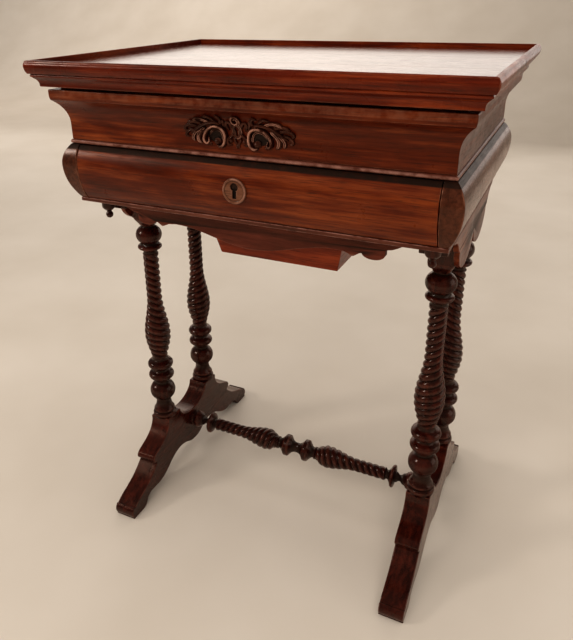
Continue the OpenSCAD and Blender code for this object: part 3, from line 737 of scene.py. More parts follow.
def board(name: str, soft: float, finish: Wood, slot: str, body: str, grain: Grain = Grain.X,
          shift: float = 0.0, suffix: str = "_board") -> None:
    """Puts a board with softened edges in place of a plain CAD node of the same size."""
    low, high = (np.array(v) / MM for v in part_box(name))
    piece = block(Shell(), low, high, soft).object(name + suffix)
    dress(piece, finish, slot, body, name, grain=grain, shift=shift)


def keep(frame: dict, finish: Finish, names: Sequence[str], grain: Grain = Grain.X,
         shift: float = 0.0) -> None:
    """Gives CAD nodes that stay on view a better material."""
    for name in names:
        piece = frame["nodes"][name]
        piece.data.materials.clear()
        piece.data.materials.append(finish_of(finish, grain, shift))
        log.info("%s: kept from the frame", name)


# ---------------------------------------------------------------- sub-assemblies


@dataclass
class Lid:
    """The lid: four mitred mouldings round three thin boards."""

    half_w: float = 290.5
    half_d: float = 217.0
    top: float = 740.0
    under: float = 707.0
    field: float = 732.0
    board_t: float = 12.0
    rim: float = 7.0
    frame: float = 60.0
    boards: int = 3
    strike: tuple = (49.0, 60.0)
    pocket: tuple = (51.3, 57.7)
    pocket_half: float = 12.2
    strike_half: float = 30.0
    corner: float = 3.0

    def section(self) -> np.ndarray:
        """Outline (inset, z): rounded rim, nosing, quirk, bead, cove and the ledge for the boards."""
        z, ledge = self.under, self.field - self.board_t
        x0, x1 = self.strike
        p0, p1 = self.pocket
        step = z + HAIR
        return joined(
            [[x1, z], [p1, z], [p1, step], [p0, step], [p0, z], [x0, z], [x0, z - HAIR], [13.2, z - HAIR]],
            [[12.9, z + 1.6]], arc(2.6, z + 2.2, 10.4, 8, 56, 6), [[6.6, z + 12.6]],
            arc(7.6, z + 14.2, 2.2, 230, 128, 6), [[5.2, z + 16.8]],
            arc(14, z + 26, 14, 222, 180, 9), arc(5.6, self.top - 6.2, 5.6, 176, 136, 4),
            arc(5.0, self.top - 5.0, 5.0, 128, 92, 4),
            [[self.rim, self.top], [self.rim, ledge], [self.frame, ledge]])

    def build(self, frame: dict) -> None:
        """Builds and dresses the lid."""
        section = self.section()
        outline, edge = softened(section, 0.9, 5)
        flat, x0, (p0, p1) = self.under, self.strike[0], self.pocket
        inset, height = outline[:, 0], outline[:, 1]
        low = height < flat + 0.5
        deep = low & (inset > p0 - 0.2) & (inset < p1 + 0.2)
        shallow = low & (inset > x0 - 0.2) & ~deep

        def bite(x: np.ndarray) -> np.ndarray:
            """Height of the strike's recess and the bolt's pocket above the underside at each x."""
            at = np.abs(x)
            one = (at < self.strike_half) * 1.0
            seven = np.where(at < self.pocket_half, 7.0, one)
            return np.where(shallow[None], one, 0.0) + np.where(deep[None], seven, 0.0)

        halves = (self.strike_half, self.pocket_half)
        marks = [s * (v + e) for s in (-1, 1) for v in halves for e in (-2 * HAIR, 2 * HAIR)]
        names = ("lid_rim_front", "lid_rim_right", "lid_rim_back", "lid_rim_left")
        for name, (turn, length, off, grain) in zip(names, four_sides(self.half_w, self.half_d)):
            extra = {"bite": bite, "stations": marks} if turn == 0 else {}
            shell = run(Shell(), outline, edge, length, off, turn, self.corner, **extra)
            piece = shell.object(name + "_moulding")
            dress(piece, RIM, "mahogany_case", "lid", name, grain=grain, shift=0.3 * turn)
        deep_y = (2 * self.half_d - 2 * self.rim) / self.boards
        for i, name in enumerate(("lid_board_front", "lid_board_middle", "lid_board_back")):
            y = self.rim - self.half_d + i * deep_y
            low_corner = (self.rim - self.half_w + 0.1, y + 0.06, self.field - self.board_t)
            high_corner = (self.half_w - self.rim - 0.1, y + deep_y - 0.06, self.field)
            piece = block(Shell(), low_corner, high_corner, 0.5).object(name + "_polished")
            dress(piece, TOP, "mahogany_top", "lid", name, shift=1.7 + 0.9 * i)
        keep(frame, BRASS, ("lid_hinge_left", "lid_hinge_right", "lid_screws", "lid_strike"))


@dataclass
class UpperCase:
    """The coved upper case with its compartments, divider boards and lock."""

    half_w: float = 290.5
    half_d: float = 217.0
    top: float = 703.0
    lip: float = 706.2
    base: float = 637.0
    inset: float = 19.0
    cove: float = 36.0
    wall: float = 14.0
    cove_r: float = 40.0
    flat: float = 21.0

    def section(self) -> np.ndarray:
        """Outline (inset, z): flat frieze, cove, fillet, and the lip that carries the lid."""
        return joined(
            [[self.cove, self.base], [self.cove, self.base + self.flat]],
            arc(self.cove - self.cove_r, self.base + self.flat, self.cove_r, 3, 53, 14),
            [[self.inset, self.top - 8.7], [self.inset, self.top - 1.0], [self.inset + 1.0, self.top],
             [self.inset + 12, self.top], [self.inset + 12, self.lip],
             [self.cove + self.wall, self.lip], [self.cove + self.wall, self.base]])

    def build(self, frame: dict) -> None:
        """Builds the four walls and dresses what stands between them."""
        outline, edge = softened(self.section(), 1.0, 5)
        fillet = (outline[:, 1] > self.top - 9.5) & (outline[:, 0] < self.inset + 2.5)
        edge = np.where(fillet, np.maximum(edge, 0.5), edge)
        names = ("upper_front", "upper_right", "upper_back", "upper_left")
        for name, (turn, length, off, grain) in zip(names, four_sides(self.half_w, self.half_d)):
            piece = run(Shell(), outline, edge, length, off, turn).object(name + "_coved")
            dress(piece, FRONT, "mahogany_case", "case", name, grain=grain, shift=2.1 + 0.4 * turn)
        for name in ("long_divider", "cross_dividers"):
            keep(frame, FRONT, (name,), Grain.X if name == "long_divider" else Grain.Y, 3.1)
        keep(frame, BRASS, ("lid_lock", "lid_lock_bolt", "case_hinge_left", "case_hinge_right", "hinge_pins",
                            "case_screws"))


@dataclass
class LowerCase:
    """The swelling lower case: plinth board, corner blocks, back, and the beaded board over the drawer."""

    half_w: float = 290.5
    half_d: float = 217.0
    top: float = 631.0
    base: float = 555.5
    post_x: float = 242.2
    back_y: float = 168.2
    # Height of the painted shadow band at the top of the swelling, under the board above.
    shadow: float = 6.5
    belly_inset: float = 22.3
    belly_z: float = 48.0
    low_r: float = 86.7
    high_r: float = 39.7
    high_x: float = 47.0

    def swell(self, n: int = 28) -> tuple[np.ndarray, np.ndarray]:
        """Heights of the swelling side and its inset at each: two circles that meet at the widest level."""
        low = arc(0, self.belly_z, self.low_r, -33.6, 0, n // 2 + 4)
        high = arc(self.high_x, self.belly_z, self.high_r, 6, 43.8, n // 2)
        out = self.belly_inset + self.low_r
        inset = np.concatenate((out - low[:, 0], out - high[:, 0]))
        level = np.concatenate((self.base + low[:, 1], self.base + high[:, 1]))
        return level, inset

    def side_rows(self, gap: float) -> tuple[np.ndarray, np.ndarray, np.ndarray]:
        """Rows of a swelling block: height, inset and corner measure.

        Both rims are softened, and the rows in the shadow of the board above are marked as hollow, which
        paints them near-black as painted shadow.

        Args:
            gap: Clearance below and above the block.

        Returns:
            Heights, insets and corner measures.
        """
        level, inset = self.swell()
        squeeze = (self.top - self.base - 2 * gap) / (level[-1] - level[0] + 0.5)
        level = self.base + gap + (level - self.base) * squeeze
        z = np.concatenate((level[:1], level[:1] + 0.3, level[1:-1], level[-1:] + 0.1, [self.top - gap]))
        first, last = inset[:1], inset[-1:]
        i = np.concatenate((first + 0.9, first + 0.25, inset[1:-1], last + 0.3, last + 1.2))
        worn = np.zeros(len(z))
        worn[[0, 1]] = 0.9
        # Painted shadow: rows under the board above are marked -0.95, so they take the near-black hollow
        # colour.
        worn = np.where(z > self.top - self.shadow, -0.95, worn)
        return z, i, worn

    def build(self, frame: dict) -> None:
        """Builds and dresses the lower case."""
        # worn holds the rims' wear and the painted shadow under the board above.
        z, inset, worn = self.side_rows(0.0)
        for s, name in ((-1, "lower_side_left"), (1, "lower_side_right")):
            out, near = s * (self.half_w - inset), np.full(len(z), s * self.post_x)
            piece = stack(Shell(), z, np.minimum(out, near), np.maximum(out, near), -self.half_d + inset,
                          self.half_d - inset, 1.6, worn).object(name + "_swelling")
            dress(piece, POST, "mahogany_case", "case", name, grain=Grain.Y, shift=0.5 + s * 0.2)
        x = np.full(len(z), self.post_x - 0.1)
        piece = stack(Shell(), z, -x, x, np.full(len(z), self.back_y), self.half_d - inset, 0.8,
                      worn).object("lower_back_swelling")
        dress(piece, FRONT, "mahogany_case", "case", "lower_back", shift=4.4)
        self.plinth()
        self.beaded_board()
        keep(frame, PINE, ("drawer_runners",), Grain.Y)

    def plinth(self) -> None:
        """The board under the drawer: a thin fillet with a rounded edge."""
        low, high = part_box("bottom_board")
        piece = block(Shell(), np.array(low) / MM, np.array(high) / MM, 1.4).object("plinth_fillet")
        dress(piece, FILLET, "mahogany_case", "case", "bottom_board", shift=5.2)

    def beaded_board(self) -> None:
        """The board over the drawer: half-round all about, with the drawer bolt's pocket below."""
        low, high = (np.array(v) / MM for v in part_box("middle_board"))
        t = np.radians(np.linspace(-90, 90, 11))
        r = (high[2] - low[2]) / 2
        inset = np.concatenate((r * (1 - np.cos(t)), [r + 20]))[::-1]
        level = np.concatenate((low[2] + r + r * np.sin(t), [high[2]]))[::-1]
        pocket_z = low[2] + 4
        x, y = 12.2, (-166.3, -161.1)
        shell = Shell()
        x0 = np.concatenate((low[0] + inset, [-x, -x]))
        x1 = np.concatenate((high[0] - inset, [x, x]))
        y0 = np.concatenate((low[1] + inset, [y[0], y[0]]))
        y1 = np.concatenate((high[1] - inset, [y[1], y[1]]))
        z = np.concatenate((level, [low[2], pocket_z]))
        worn = np.concatenate(([0.0], np.cos(t) ** 2 * 0.8, [0, 0]))
        piece = stack(shell, z, x0, x1, y0, y1, 0.5, worn).object("beaded_board")
        dress(piece, FILLET, "mahogany_case", "case", "middle_board", shift=6.3)


@dataclass
class Drawer(LowerCase):
    """The drawer: swelling front with its turned escutcheon, pine box and lock."""

    gap: float = 0.8
    escutcheon_z: float = 596.0
    escutcheon_r: float = 16.0
    key_r: float = 5.0
    key_up: float = 4.7
    key_slot: tuple = (2.5, 9.5)

    def build(self, frame: dict) -> None:
        """Builds and dresses the drawer."""
        # worn holds the rims' wear and the painted shadow under the board above.
        z, inset, worn = self.side_rows(self.gap)
        x = np.full(len(z), self.post_x - self.gap)
        piece = stack(Shell(), z, -x, x, -self.half_d + inset, np.full(len(z), -self.back_y), 0.9,
                      worn).object("drawer_front_swelling")
        dress(piece, FRONT, "mahogany_case", "drawer", "drawer_front", shift=7.9)
        self.escutcheon()
        for name in ("drawer_side_left", "drawer_side_right", "drawer_back", "drawer_bottom"):
            board(name, 0.7, PINE, "pine", "drawer", Grain.Y if "side" in name else Grain.X, 1.1)
        keep(frame, BRASS, ("drawer_lock", "drawer_lock_bolt"))

    def escutcheon(self) -> None:
        """A turned ring with a flat worn face and a large keyhole through it, whose shallow floor is painted
        near-black as painted shade.

        The keyhole's reach at angle a is the farther side of a round of radius q whose middle is p
        above the ring's, which is p sin a + (q^2 - p^2 cos^2 a)^0.5, or of the slot below it.
        """
        n, face = 96, 2.1
        a = np.linspace(0, 2 * np.pi, n, endpoint=False)
        q, p = self.key_r, self.key_up
        round_part = p * np.sin(a) + np.sqrt(np.maximum(q**2 - (p * np.cos(a)) ** 2, 0.0))
        half, deep = self.key_slot
        slot = np.minimum(half / np.maximum(np.abs(np.cos(a)), 1e-6), deep / np.maximum(-np.sin(a), 1e-6))
        key = np.where(np.sin(a) < 0, np.maximum(round_part, slot), np.maximum(round_part, 0.5))
        r = self.escutcheon_r
        rounds = ((r - 0.3, 0.0, 0), (r, 0.0, 0), (r, 1.9, 0.3), (r - 0.5, 2.7, 1), (r - 1.3, 3.0, 1),
                  (r - 2.6, 2.9, 0.5), (r - 3.3, 2.3, -0.6), (r - 3.9, 2.0, -0.3), (r - 5.0, face, 0.1))
        rows = [(np.full(n, rr), h, e) for rr, h, e in rounds]
        # The last three rows, the keyhole's walls and shallow floor, are marked -1: painted shade of the
        # hole.
        rows += [(np.minimum(0.5 * key + 0.5 * (r - 5.0), r - 5.2), face, 0.1), (key + 0.5, 2.0, 0.5),
                 (key, 1.5, 0.2), (key * 0.99, 0.5, -1.0), (key * 0.95, 0.35, -1.0),
                 (key * 0.02, 0.35, -1.0)]
        rings = np.stack([np.stack((rr * np.cos(a), np.full(n, -h), rr * np.sin(a)), -1)
                          for rr, h, _ in rows])
        marks = np.stack([np.full(n, e, float) for _, _, e in rows])
        place = np.array([0, -self.half_d + self.belly_inset, self.escutcheon_z])
        piece = Shell().loft(rings + place, marks).object("escutcheon_ring")
        dress(piece, RING, "mahogany_dark", "drawer", "escutcheon", shift=0.4)


# Leaves and scrolls of the right half: points (x, z) from the keyhole, width, height and grooves.
STROKES = (
    ([(27, -21), (23.5, -22.5), (19, -20.5), (16.2, -16), (15.6, -9.5), (17.4, -3.4), (22.2, .4),
      (29, 1.4), (35.6, -.9), (41.2, -5.6), (44, -11), (44.4, -16.4), (41, -19.6), (38.4, -16.8),
      (39.4, -12.6)], 4.6, 7.0, 0),
    ([(20.5, -17), (19.8, -10), (23, -4), (29, -2.4), (35, -5), (38, -10)], 4.4, 2.4, 2),
    ([(21.4, 4), (28.8, 6), (38, 4.8), (47.6, 1.2), (56.4, -4.2), (65, -10)], 4.6, 6.2, 1),
    ([(27, 5.5), (32, 10.3), (38, 12.8), (44.6, 12)], 4.2, 4.6, 1),
    ([(36, 5.5), (45, 8.6), (54, 8.2), (60.6, 4.6)], 6.0, 4.6, 3),
    ([(46, 2.6), (56, 5.2), (64, 4.4), (68.6, 1)], 4.6, 4.2, 1),
    ([(53, -1), (62, 1), (70, -.8), (72, -4.4), (68, -7)], 4.4, 4.2, 1),
    ([(58, -4.5), (65, -5.5), (70, -9), (70.5, -12.5), (66.5, -13.5)], 4.0, 3.8, 1),
    ([(43, -.6), (49, -5), (53.4, -11), (53, -17), (49.5, -20.5)], 7.0, 4.2, 3),
    ([(52, -4), (58, -8.5), (61, -14), (59.6, -18.5)], 5.0, 3.6, 2),
    ([(22.5, 4), (20.4, 9), (23.4, 13.4), (28, 12.6)], 4.4, 4.4, 1),
    ([(14.6, 1), (17.6, 5), (17, 10.6)], 4.2, 3.4, 1),
    ([(5.2, 0), (8.6, 6.4), (12.6, 7), (13.4, 2.5), (10.5, -2.5)], 4.0, 4.2, 1),
    ([(4.2, -4), (7.6, -9), (12.6, -13), (12.8, -18.5), (7.4, -19.8)], 3.6, 4.4, 1),
    ([(0.6, -18.6), (3.6, -14.6), (3.4, -9.6)], 3.2, 3.6, 1),
)


@dataclass
class Ornament:
    """Carved leaf scrolls about the lid's keyhole, in relief on the cove."""

    centre_z: float = 668.0
    wall: UpperCase = field(default_factory=UpperCase)

    def wall_y(self, z: np.ndarray) -> np.ndarray:
        """Distance of the wall's face along Y at each height: flat below, then the cove's circle."""
        base = self.wall.base + self.wall.flat
        up = np.clip(z - base, 0, 32)
        inset = self.wall.cove - self.wall.cove_r + np.sqrt(self.wall.cove_r**2 - up**2)
        return -self.wall.half_d + inset

    def stroke(self, shell: Shell, points: Sequence, wide: float, tall: float, grooves: int = 0,
               side: int = 1) -> None:
        """One leaf or scroll: a rounded ribbon carried along a curve on the wall.

        Across the ribbon, at s from -1 to 1, its height is tall (1 - s^2)^0.5, cut by the share
        0.34 |cos(grooves pi s / 2)|^3. Along it, the width swells and tapers as a quarter sine.
        """
        n, m = 10 * len(points), 15
        line = spline(points, n)
        line = line * (side, 1)
        ahead = np.gradient(line, axis=0)
        ahead /= np.linalg.norm(ahead, axis=1, keepdims=True)
        normal = np.column_stack((-ahead[:, 1], ahead[:, 0]))
        t = np.linspace(0, 1, n)
        body = np.clip(np.minimum(t / 0.12, (1 - t) / 0.3), 0, 1)
        share = TIP + (1 - TIP) * np.sin(body * np.pi / 2)
        s = np.linspace(-1, 1, m)
        cut = 0.34 * np.abs(np.cos(grooves * np.pi * s / 2)) ** 3 if grooves else 0
        dome = np.sqrt(np.clip(1 - s**2, 0, 1)) * (1 - cut)
        back = np.array([0.8, 0.0, -0.8])
        across = np.concatenate((s, back))
        lift = np.concatenate((dome * tall, np.full(3, -1.2)))
        place = line[:, None] + normal[:, None] * (across[None, :, None] * wide * share[:, None, None] / 2)
        x, z = place[..., 0], place[..., 1] + self.centre_z
        up = lift[None] * np.where(lift[None] > 0, share[:, None] ** 0.7, 1.0)
        rings = np.stack((x, self.wall_y(z) - up, z), -1)
        # Crests take the pale worn colour, wear and painted highlight; the sides darken towards the
        # near-black colour.
        mark = np.concatenate((np.where(dome > 0.8, 0.8, dome - 0.75), [-1, -1, -1]))
        shell.loft(rings, mark[None] + 0 * x)

    def bead(self, shell: Shell, x: float, z: float, r: float) -> None:
        """A carved ball that stands out of the wall, paler round its widest ring: wear and painted
        highlight.
        """
        t = np.radians(np.linspace(0, 180, 13))[:, None]
        a = np.linspace(0, 2 * np.pi, 20, endpoint=False)[None]
        k = np.maximum(np.sin(t), 0.02) * r
        level = self.centre_z + z
        y = self.wall_y(np.array([level]))[0]
        out = y - r * 0.55 + r * np.cos(t)
        rings = np.stack((x + k * np.cos(a), out + 0 * a, level + k * np.sin(a)), -1)
        # The widest rings take the pale worn colour: wear and painted highlight.
        shell.loft(rings, 0.6 * np.clip(np.sin(t) - 0.3, -1, 1) + 0 * a)

    def pool(self, shell: Shell, x: float, z: float, wide: float, tall: float) -> None:
        """Painted shade of the sunk ground inside a scroll: a low oval on the wall, marked -1 so it shows
        near-black.
        """
        a = np.linspace(0, 2 * np.pi, 40, endpoint=False)
        rows = []
        for share, lift in ((0.98, -1.0), (1.0, 0.2), (0.9, 0.7), (0.5, 0.8), (0.02, 0.8)):
            level = self.centre_z + z + share * tall * np.sin(a)
            rows.append(np.stack((x + share * wide * np.cos(a), self.wall_y(level) - lift, level), -1))
        # Marked -1 all over: painted shade.
        shell.loft(np.stack(rows), -1.0)

    def build(self, frame: dict) -> None:
        """Builds both halves and the keyhole's cartouche."""
        shell = Shell()
        for side in (-1, 1):
            for points, wide, tall, grooves in STROKES:
                self.stroke(shell, points, wide, tall, grooves, side=side)
            self.bead(shell, side * 26.4, -16.4, 4.4)
            # Painted shade inside the large scroll of each half.
            self.pool(shell, side * 30.0, -9.0, 11.0, 9.0)
            self.bead(shell, side * 9.2, -14.8, 2.4)
            self.bead(shell, side * 37.6, -20.0, 2.0)
        self.bead(shell, 0, -21.0, 2.4)
        a = np.linspace(0, 1, 60)
        reach, angle = 6.4 * (1 - 0.72 * a), 3.6 * np.pi * a - 1.1
        curl = np.column_stack((reach * np.cos(angle), 9.2 + reach * np.sin(angle)))
        self.stroke(shell, curl[::5], 3.0, 5.4, 0)
        self.cartouche(shell)
        piece = shell.object("carved_leaf_scrolls", SMOOTH_CARVED)
        dress(piece, CARVED, "mahogany_dark", "case", "carved_ornament")

    def cartouche(self, shell: Shell) -> None:
        """A domed shield with the sunk keyhole, made of rings from its rim to the keyhole's floor; the floor
        is marked -1 and painted near-black as painted shade.
        """
        a = np.linspace(0, 2 * np.pi, 48, endpoint=False)
        down = np.maximum(-np.sin(a), 1e-6)
        slot = np.where(np.sin(a) < 0, np.minimum(1.3 / np.maximum(np.abs(np.cos(a)), 1e-6), 8.5 / down), 0)
        key = np.maximum(2.6, slot)
        rim = 6.2 + 6.5 * np.clip(-np.sin(a), 0, 1) ** 2
        # The last row, the keyhole's floor, is marked -1: painted shade of the hole.
        rows = ((rim, -1.0, 0), (rim, 1.6, 0.2), (rim * 0.92, 2.6, 0.8), (rim * 0.5 + key * 0.5, 2.2, 0.1),
                (key + 0.4, 2.6, 0.6), (key, 2.2, 0.2), (key * 0.98, -1.5, -1.0))
        parts = []
        for r, h, _ in rows:
            x, z = r * np.cos(a), self.centre_z + r * np.sin(a)
            parts.append(np.stack((x, self.wall_y(z) - h, z), -1))
        shell.loft(np.stack(parts), np.stack([np.full(48, e, float) for _, _, e in rows]))


@dataclass
class PinCushion:
    """The stuffed pad in the middle compartment."""

    low: tuple = (-76.0, 37.0, 637.0)
    high: tuple = (76.0, 166.0, 675.0)

    def build(self, frame: dict) -> None:
        """A crowned pad: a superellipse plan whose height falls towards a sewn rim.

        With u and v across the pad from -1 to 1, the top is base + crown (1 - u^4)^0.5 (1 - v^4)^0.5.
        """
        (x0, y0, z0), (x1, y1, z1) = self.low, self.high
        cx, cy, hw, hd = (x0 + x1) / 2, (y0 + y1) / 2, (x1 - x0) / 2, (y1 - y0) / 2
        a = np.linspace(0, 2 * np.pi, 96, endpoint=False)[None]
        power = 5.0
        unit = (np.abs(np.cos(a)) ** power + np.abs(np.sin(a)) ** power) ** (-1 / power)
        t = np.linspace(0, 1, 34)[:, None]
        rise = np.clip(t / 0.45, 0, 1)
        over = np.clip((t - 0.45) / 0.55, 0, 1)
        bulge = 0.94 + 0.06 * np.sin(np.pi * rise) ** 0.8
        radial = np.where(t < 0.45, bulge, 0.94 * (1 - over**1.6) + 0.004)
        z_side = z0 + 0.4 + 22.0 * rise
        crown = z0 + 22.4 + (z1 - z0 - 22.6) * (1 - (1 - over) ** 2.4)
        z = np.where(t < 0.45, z_side, crown)
        seam = 1 - 0.018 * np.exp(-(((t - 0.45) / 0.03) ** 2))
        reach = radial * seam * unit
        rings = np.stack((cx + hw * reach * np.cos(a), cy + hd * reach * np.sin(a), z + 0 * a), -1)
        piece = Shell().loft(rings, 0.0).object("pin_cushion_pad", SMOOTH_PAD)
        dress(piece, VELVET, "velvet", "case", "pin_cushion")


# Pairs of radius and height: the first two above the foot, the others above the end of the twist.
LEG_BASE = ((19.0, -1.2), (19.6, 0.6), (20.2, 3.2), (20.0, 6.0), (18.8, 8.2), (17.2, 9.0), (17.4, 10.4),
            (18.3, 12.2), (18.0, 14.0), (16.6, 15.6), (15.4, 18), (14.0, 22), (12.9, 27), (12.6, 31.5),
            (13.4, 33.0), (13.6, 34.2))
LEG_NECK = ((12.4, 68.2), (12.3, 71.5), (13.8, 73.2), (14.0, 74.2))
LEG_COLLAR = ((11.2, 1.5), (11.4, 4.5), (13.2, 6.2), (14.0, 7.0))
LEG_CROWN = ((10.4, 47.2), (10.4, 48.4), (11.4, 49.2), (11.4, 50.4), (10.6, 51.2))
# Pairs along and up the foot: its hollow underside, then the toe's rise and scroll back from the tip.
FOOT_UNDER = ((0, 30), (14, 31.5), (30, 39), (46, 43.5), (60, 43), (78, 37), (96, 26), (110, 19.5),
              (124, 17), (138, 17.6))
FOOT_RISE = ((-7, 19.5), (-20, 27), (-38, 34.5), (-55, 43), (-68, 53), (-76, 60))
FOOT_SCROLL = ((-73, 66.5), (-70.6, 71), (-72.4, 76.4), (-78, 80.4), (-90, 85.4), (-102, 91), (-112, 98.6),
               (-118.6, 107), (-121.4, 114))
# The leg's head, under its square block: height against the block's foot, half width, corner measure.
LEG_HEAD = ((-13.0, 10.6, 0), (-11.5, 11.2, 0), (-9.0, 12.4, 0), (-6.0, 14.4, 0.2), (-3.0, 16.0, 0.5),
            (-0.8, 16.7, 0.9), (0.6, 16.4, 0))


@dataclass
class EndFrame:
    """One end of the stand: two twist legs on a shaped foot, under a rail with a lobed apron."""

    side: int
    x: float = 230.0
    leg_y: float = 66.0
    foot_top: float = 124.0
    foot_len: float = 408.0
    foot_w: float = 36.0
    block: float = 17.0
    twist_end: float = 433.0
    rail_z: float = 530.0
    block_z: float = 495.0
    bottom: float = 550.0
    rail_half: float = 140.0
    apron_x: tuple = (247.0, 254.2)

    def word(self) -> str:
        """The side's name in the frame's node names."""
        return "left" if self.side < 0 else "right"

    @staticmethod
    def ring(level: float) -> np.ndarray:
        """A bulging ring with a fine step above and below it."""
        r, h, bow = 21.6, 6.6, 6.4
        s = np.radians(np.linspace(-80, 80, 11))
        bulge = np.column_stack((r - bow + bow * np.cos(s), level + h * np.sin(s)))
        return joined([[r - 7.6, level - h - 0.9], [r - 5.6, level - h - 0.5]], bulge,
                      [[r - 5.6, level + h + 0.5], [r - 7.6, level + h + 0.9]])

    def leg_profile(self) -> tuple[np.ndarray, np.ndarray, np.ndarray]:
        """A leg from the foot up: radius against height, depth of the twist, and corner measure."""
        f, end = self.foot_top, self.twist_end
        ball = arc(0, 0, 1, -62, 66, 15)
        ball = np.column_stack((12.6 + 9.2 * (ball[:, 0] - 0.42) / 0.58, f + 51.0 + 17.4 * ball[:, 1]))
        under = joined(shifted(LEG_BASE, z=f), ball, shifted(LEG_NECK, z=f), self.ring(f + 83.0),
                       shifted([(13.0, 93.3), (13.0, 94.4)], z=f), self.ring(f + 104.6),
                       shifted([(12.9, 114.0), (12.6, 117.5)], z=f))
        twist, deep = twist_bulb((f + 119.0, f + 163.0, f + 236.0, end), (13.2, 8.4, 1.25),
                                 (12.5, 9.1, 1.15), (6.0, 5.0), 2.5, 150)
        t = np.radians(np.linspace(-78, 78, 9))
        disc = np.column_stack((13.6 + 5.6 * np.cos(t), end + 12.0 + 4.2 * np.sin(t)))
        globe = arc(0, 0, 1, -50, 62, 16)
        globe = np.column_stack((20.6 * globe[:, 0] ** 0.9, end + 32.2 + 16.4 * globe[:, 1]))
        over = joined(shifted(LEG_COLLAR, z=end), disc, globe, shifted(LEG_CROWN, z=end))
        profile = joined(under, twist, over)
        depth = np.concatenate((np.zeros(len(under)), deep, np.zeros(len(over))))
        return profile, depth, turning_marks(profile, 1.2, 14.4, -0.35)

    def leg(self, y: float, name: str, pitch: float) -> None:
        """Turns one leg and joins it to the square block above it."""
        profile, depth, mark = self.leg_profile()
        shell = Shell()
        where = np.array([self.side * self.x, y, 0.0])
        turned(shell, profile, lambda p: p + where, AROUND_LEG, ROPES, pitch, depth, mark)
        b, x = self.block, self.side * self.x
        block(shell, (x - b, y - b, self.block_z), (x + b, y + b, self.rail_z), 1.2)
        level, half, worn = np.array(LEG_HEAD).T
        stack(shell, self.block_z + level, x - half, x + half, y - half, y + half, 5.0, worn)
        piece = shell.object(name + "_twisted", SMOOTH_TURNED)
        dress(piece, DARK, "mahogany_dark", "case", name, grain=Grain.Z,
              shift=0.7 + 0.01 * y + 0.3 * self.side)

    def foot(self) -> None:
        """Sawn trestle foot with a toe at each end and a hollow between the legs."""
        toe, shelf, top = self.foot_len / 2, self.leg_y + 16, self.foot_top
        heel = shifted([(-54, 17.2), (-46, 13), (-41, 5.5), (-37, 0.8)], toe)
        under = spline(joined(FOOT_UNDER, heel), 44)
        end = joined([[toe - 34, 0], [toe - 3, 0]], arc(toe - 12, 10.5, 12, -46, 58, 9))
        rise = spline(shifted(FOOT_RISE, toe), 16)
        step = shifted([(-78.4, 61.4), (-77.4, 64.2)], toe)
        scroll = spline(shifted(FOOT_SCROLL, toe), 26)
        ledge = joined([[shelf, top - 6], [shelf, top]], [[self.leg_y - 21.5, top]])
        dip = self.leg_y - 22
        s = np.linspace(6, 90, 12)
        hollow = np.column_stack((dip * np.cos(np.radians(s)), top - 26 * np.sin(np.radians(s))))
        outline = mirrored(joined(under, end, rise, step, scroll, ledge, hollow))
        x = self.side * self.x
        name = "foot_" + self.word()
        shell = sawn(Shell(), outline, x - self.foot_w / 2, x + self.foot_w / 2, "x", 1.8, 1.6)
        dress(shell.object(name + "_shaped"), DARK, "mahogany_dark", "case", name, grain=Grain.Y,
              shift=2.6 + self.side * 0.4)

    def apron(self) -> None:
        """Sawn board on the outside of the rail: two round lobes over the legs."""
        lobe, b = self.leg_y - 16, self.bottom
        t = np.radians(np.linspace(0, 180, 26))
        lobes = np.column_stack((lobe - lobe * np.cos(t), b - 28 - 33 * np.sin(t)))
        cove = arc(2 * lobe + 42, b - 44, 40, 152, 92, 14)
        outline = mirrored(joined(lobes, [[2 * lobe + 3, b - 24]], cove, [[self.rail_half + 8, b]]))
        near, far = self.apron_x
        start, end = (near, far) if self.side > 0 else (-far, -near)
        name = "side_apron_" + self.word()
        shell = sawn(Shell(), outline, start, end, "x", 1.0, 0.8)
        dress(shell.object(name + "_lobed"), FRONT, "mahogany_case", "case", name, grain=Grain.Y, shift=3.7)

    def rail(self) -> None:
        """The plain rail that joins the two leg blocks."""
        board("rail_" + self.word(), 1.0, DARK, "mahogany_dark", "case", Grain.Y)

    def build(self, frame: dict) -> None:
        """Builds the whole end frame."""
        wind = TWIST_PITCH * self.side
        self.leg(-self.leg_y, "leg_front_" + self.word(), wind)
        self.leg(self.leg_y, "leg_back_" + self.word(), -wind)
        self.foot()
        self.apron()
        self.rail()


# Pairs of radius and distance: from the middle, from the end of the twist, and from the foot's face.
FLANGE = ((8.6, 0.0), (8.8, 3.0), (10.4, 7.0), (14.0, 11.2), (17.4, 14.0), (18.4, 14.8), (18.7, 15.6),
          (18.1, 16.4), (18.1, 16.9), (18.7, 17.6), (18.7, 19.0), (18.1, 19.6), (18.1, 20.2), (18.5, 20.9),
          (17.6, 21.8), (13.6, 25.2), (10.2, 28.6), (9.0, 31.6), (9.2, 33.6), (10.8, 34.2), (10.8, 36.2),
          (9.4, 36.8))
CUP = ((8.2, 1.5), (8.4, 6), (10.6, 7.4), (17.6, 11.0), (18.8, 12.6), (18.8, 14.2), (17.6, 15.4),
       (9.4, 16.8), (8.6, 19.6))
FINIAL = ((9.0, -22), (10.2, -19), (13.6, -15.5), (15.6, -12), (15.4, -8.5), (13.4, -6.5), (13.0, -4.0),
          (14.4, -2.5), (14.6, 0.8))


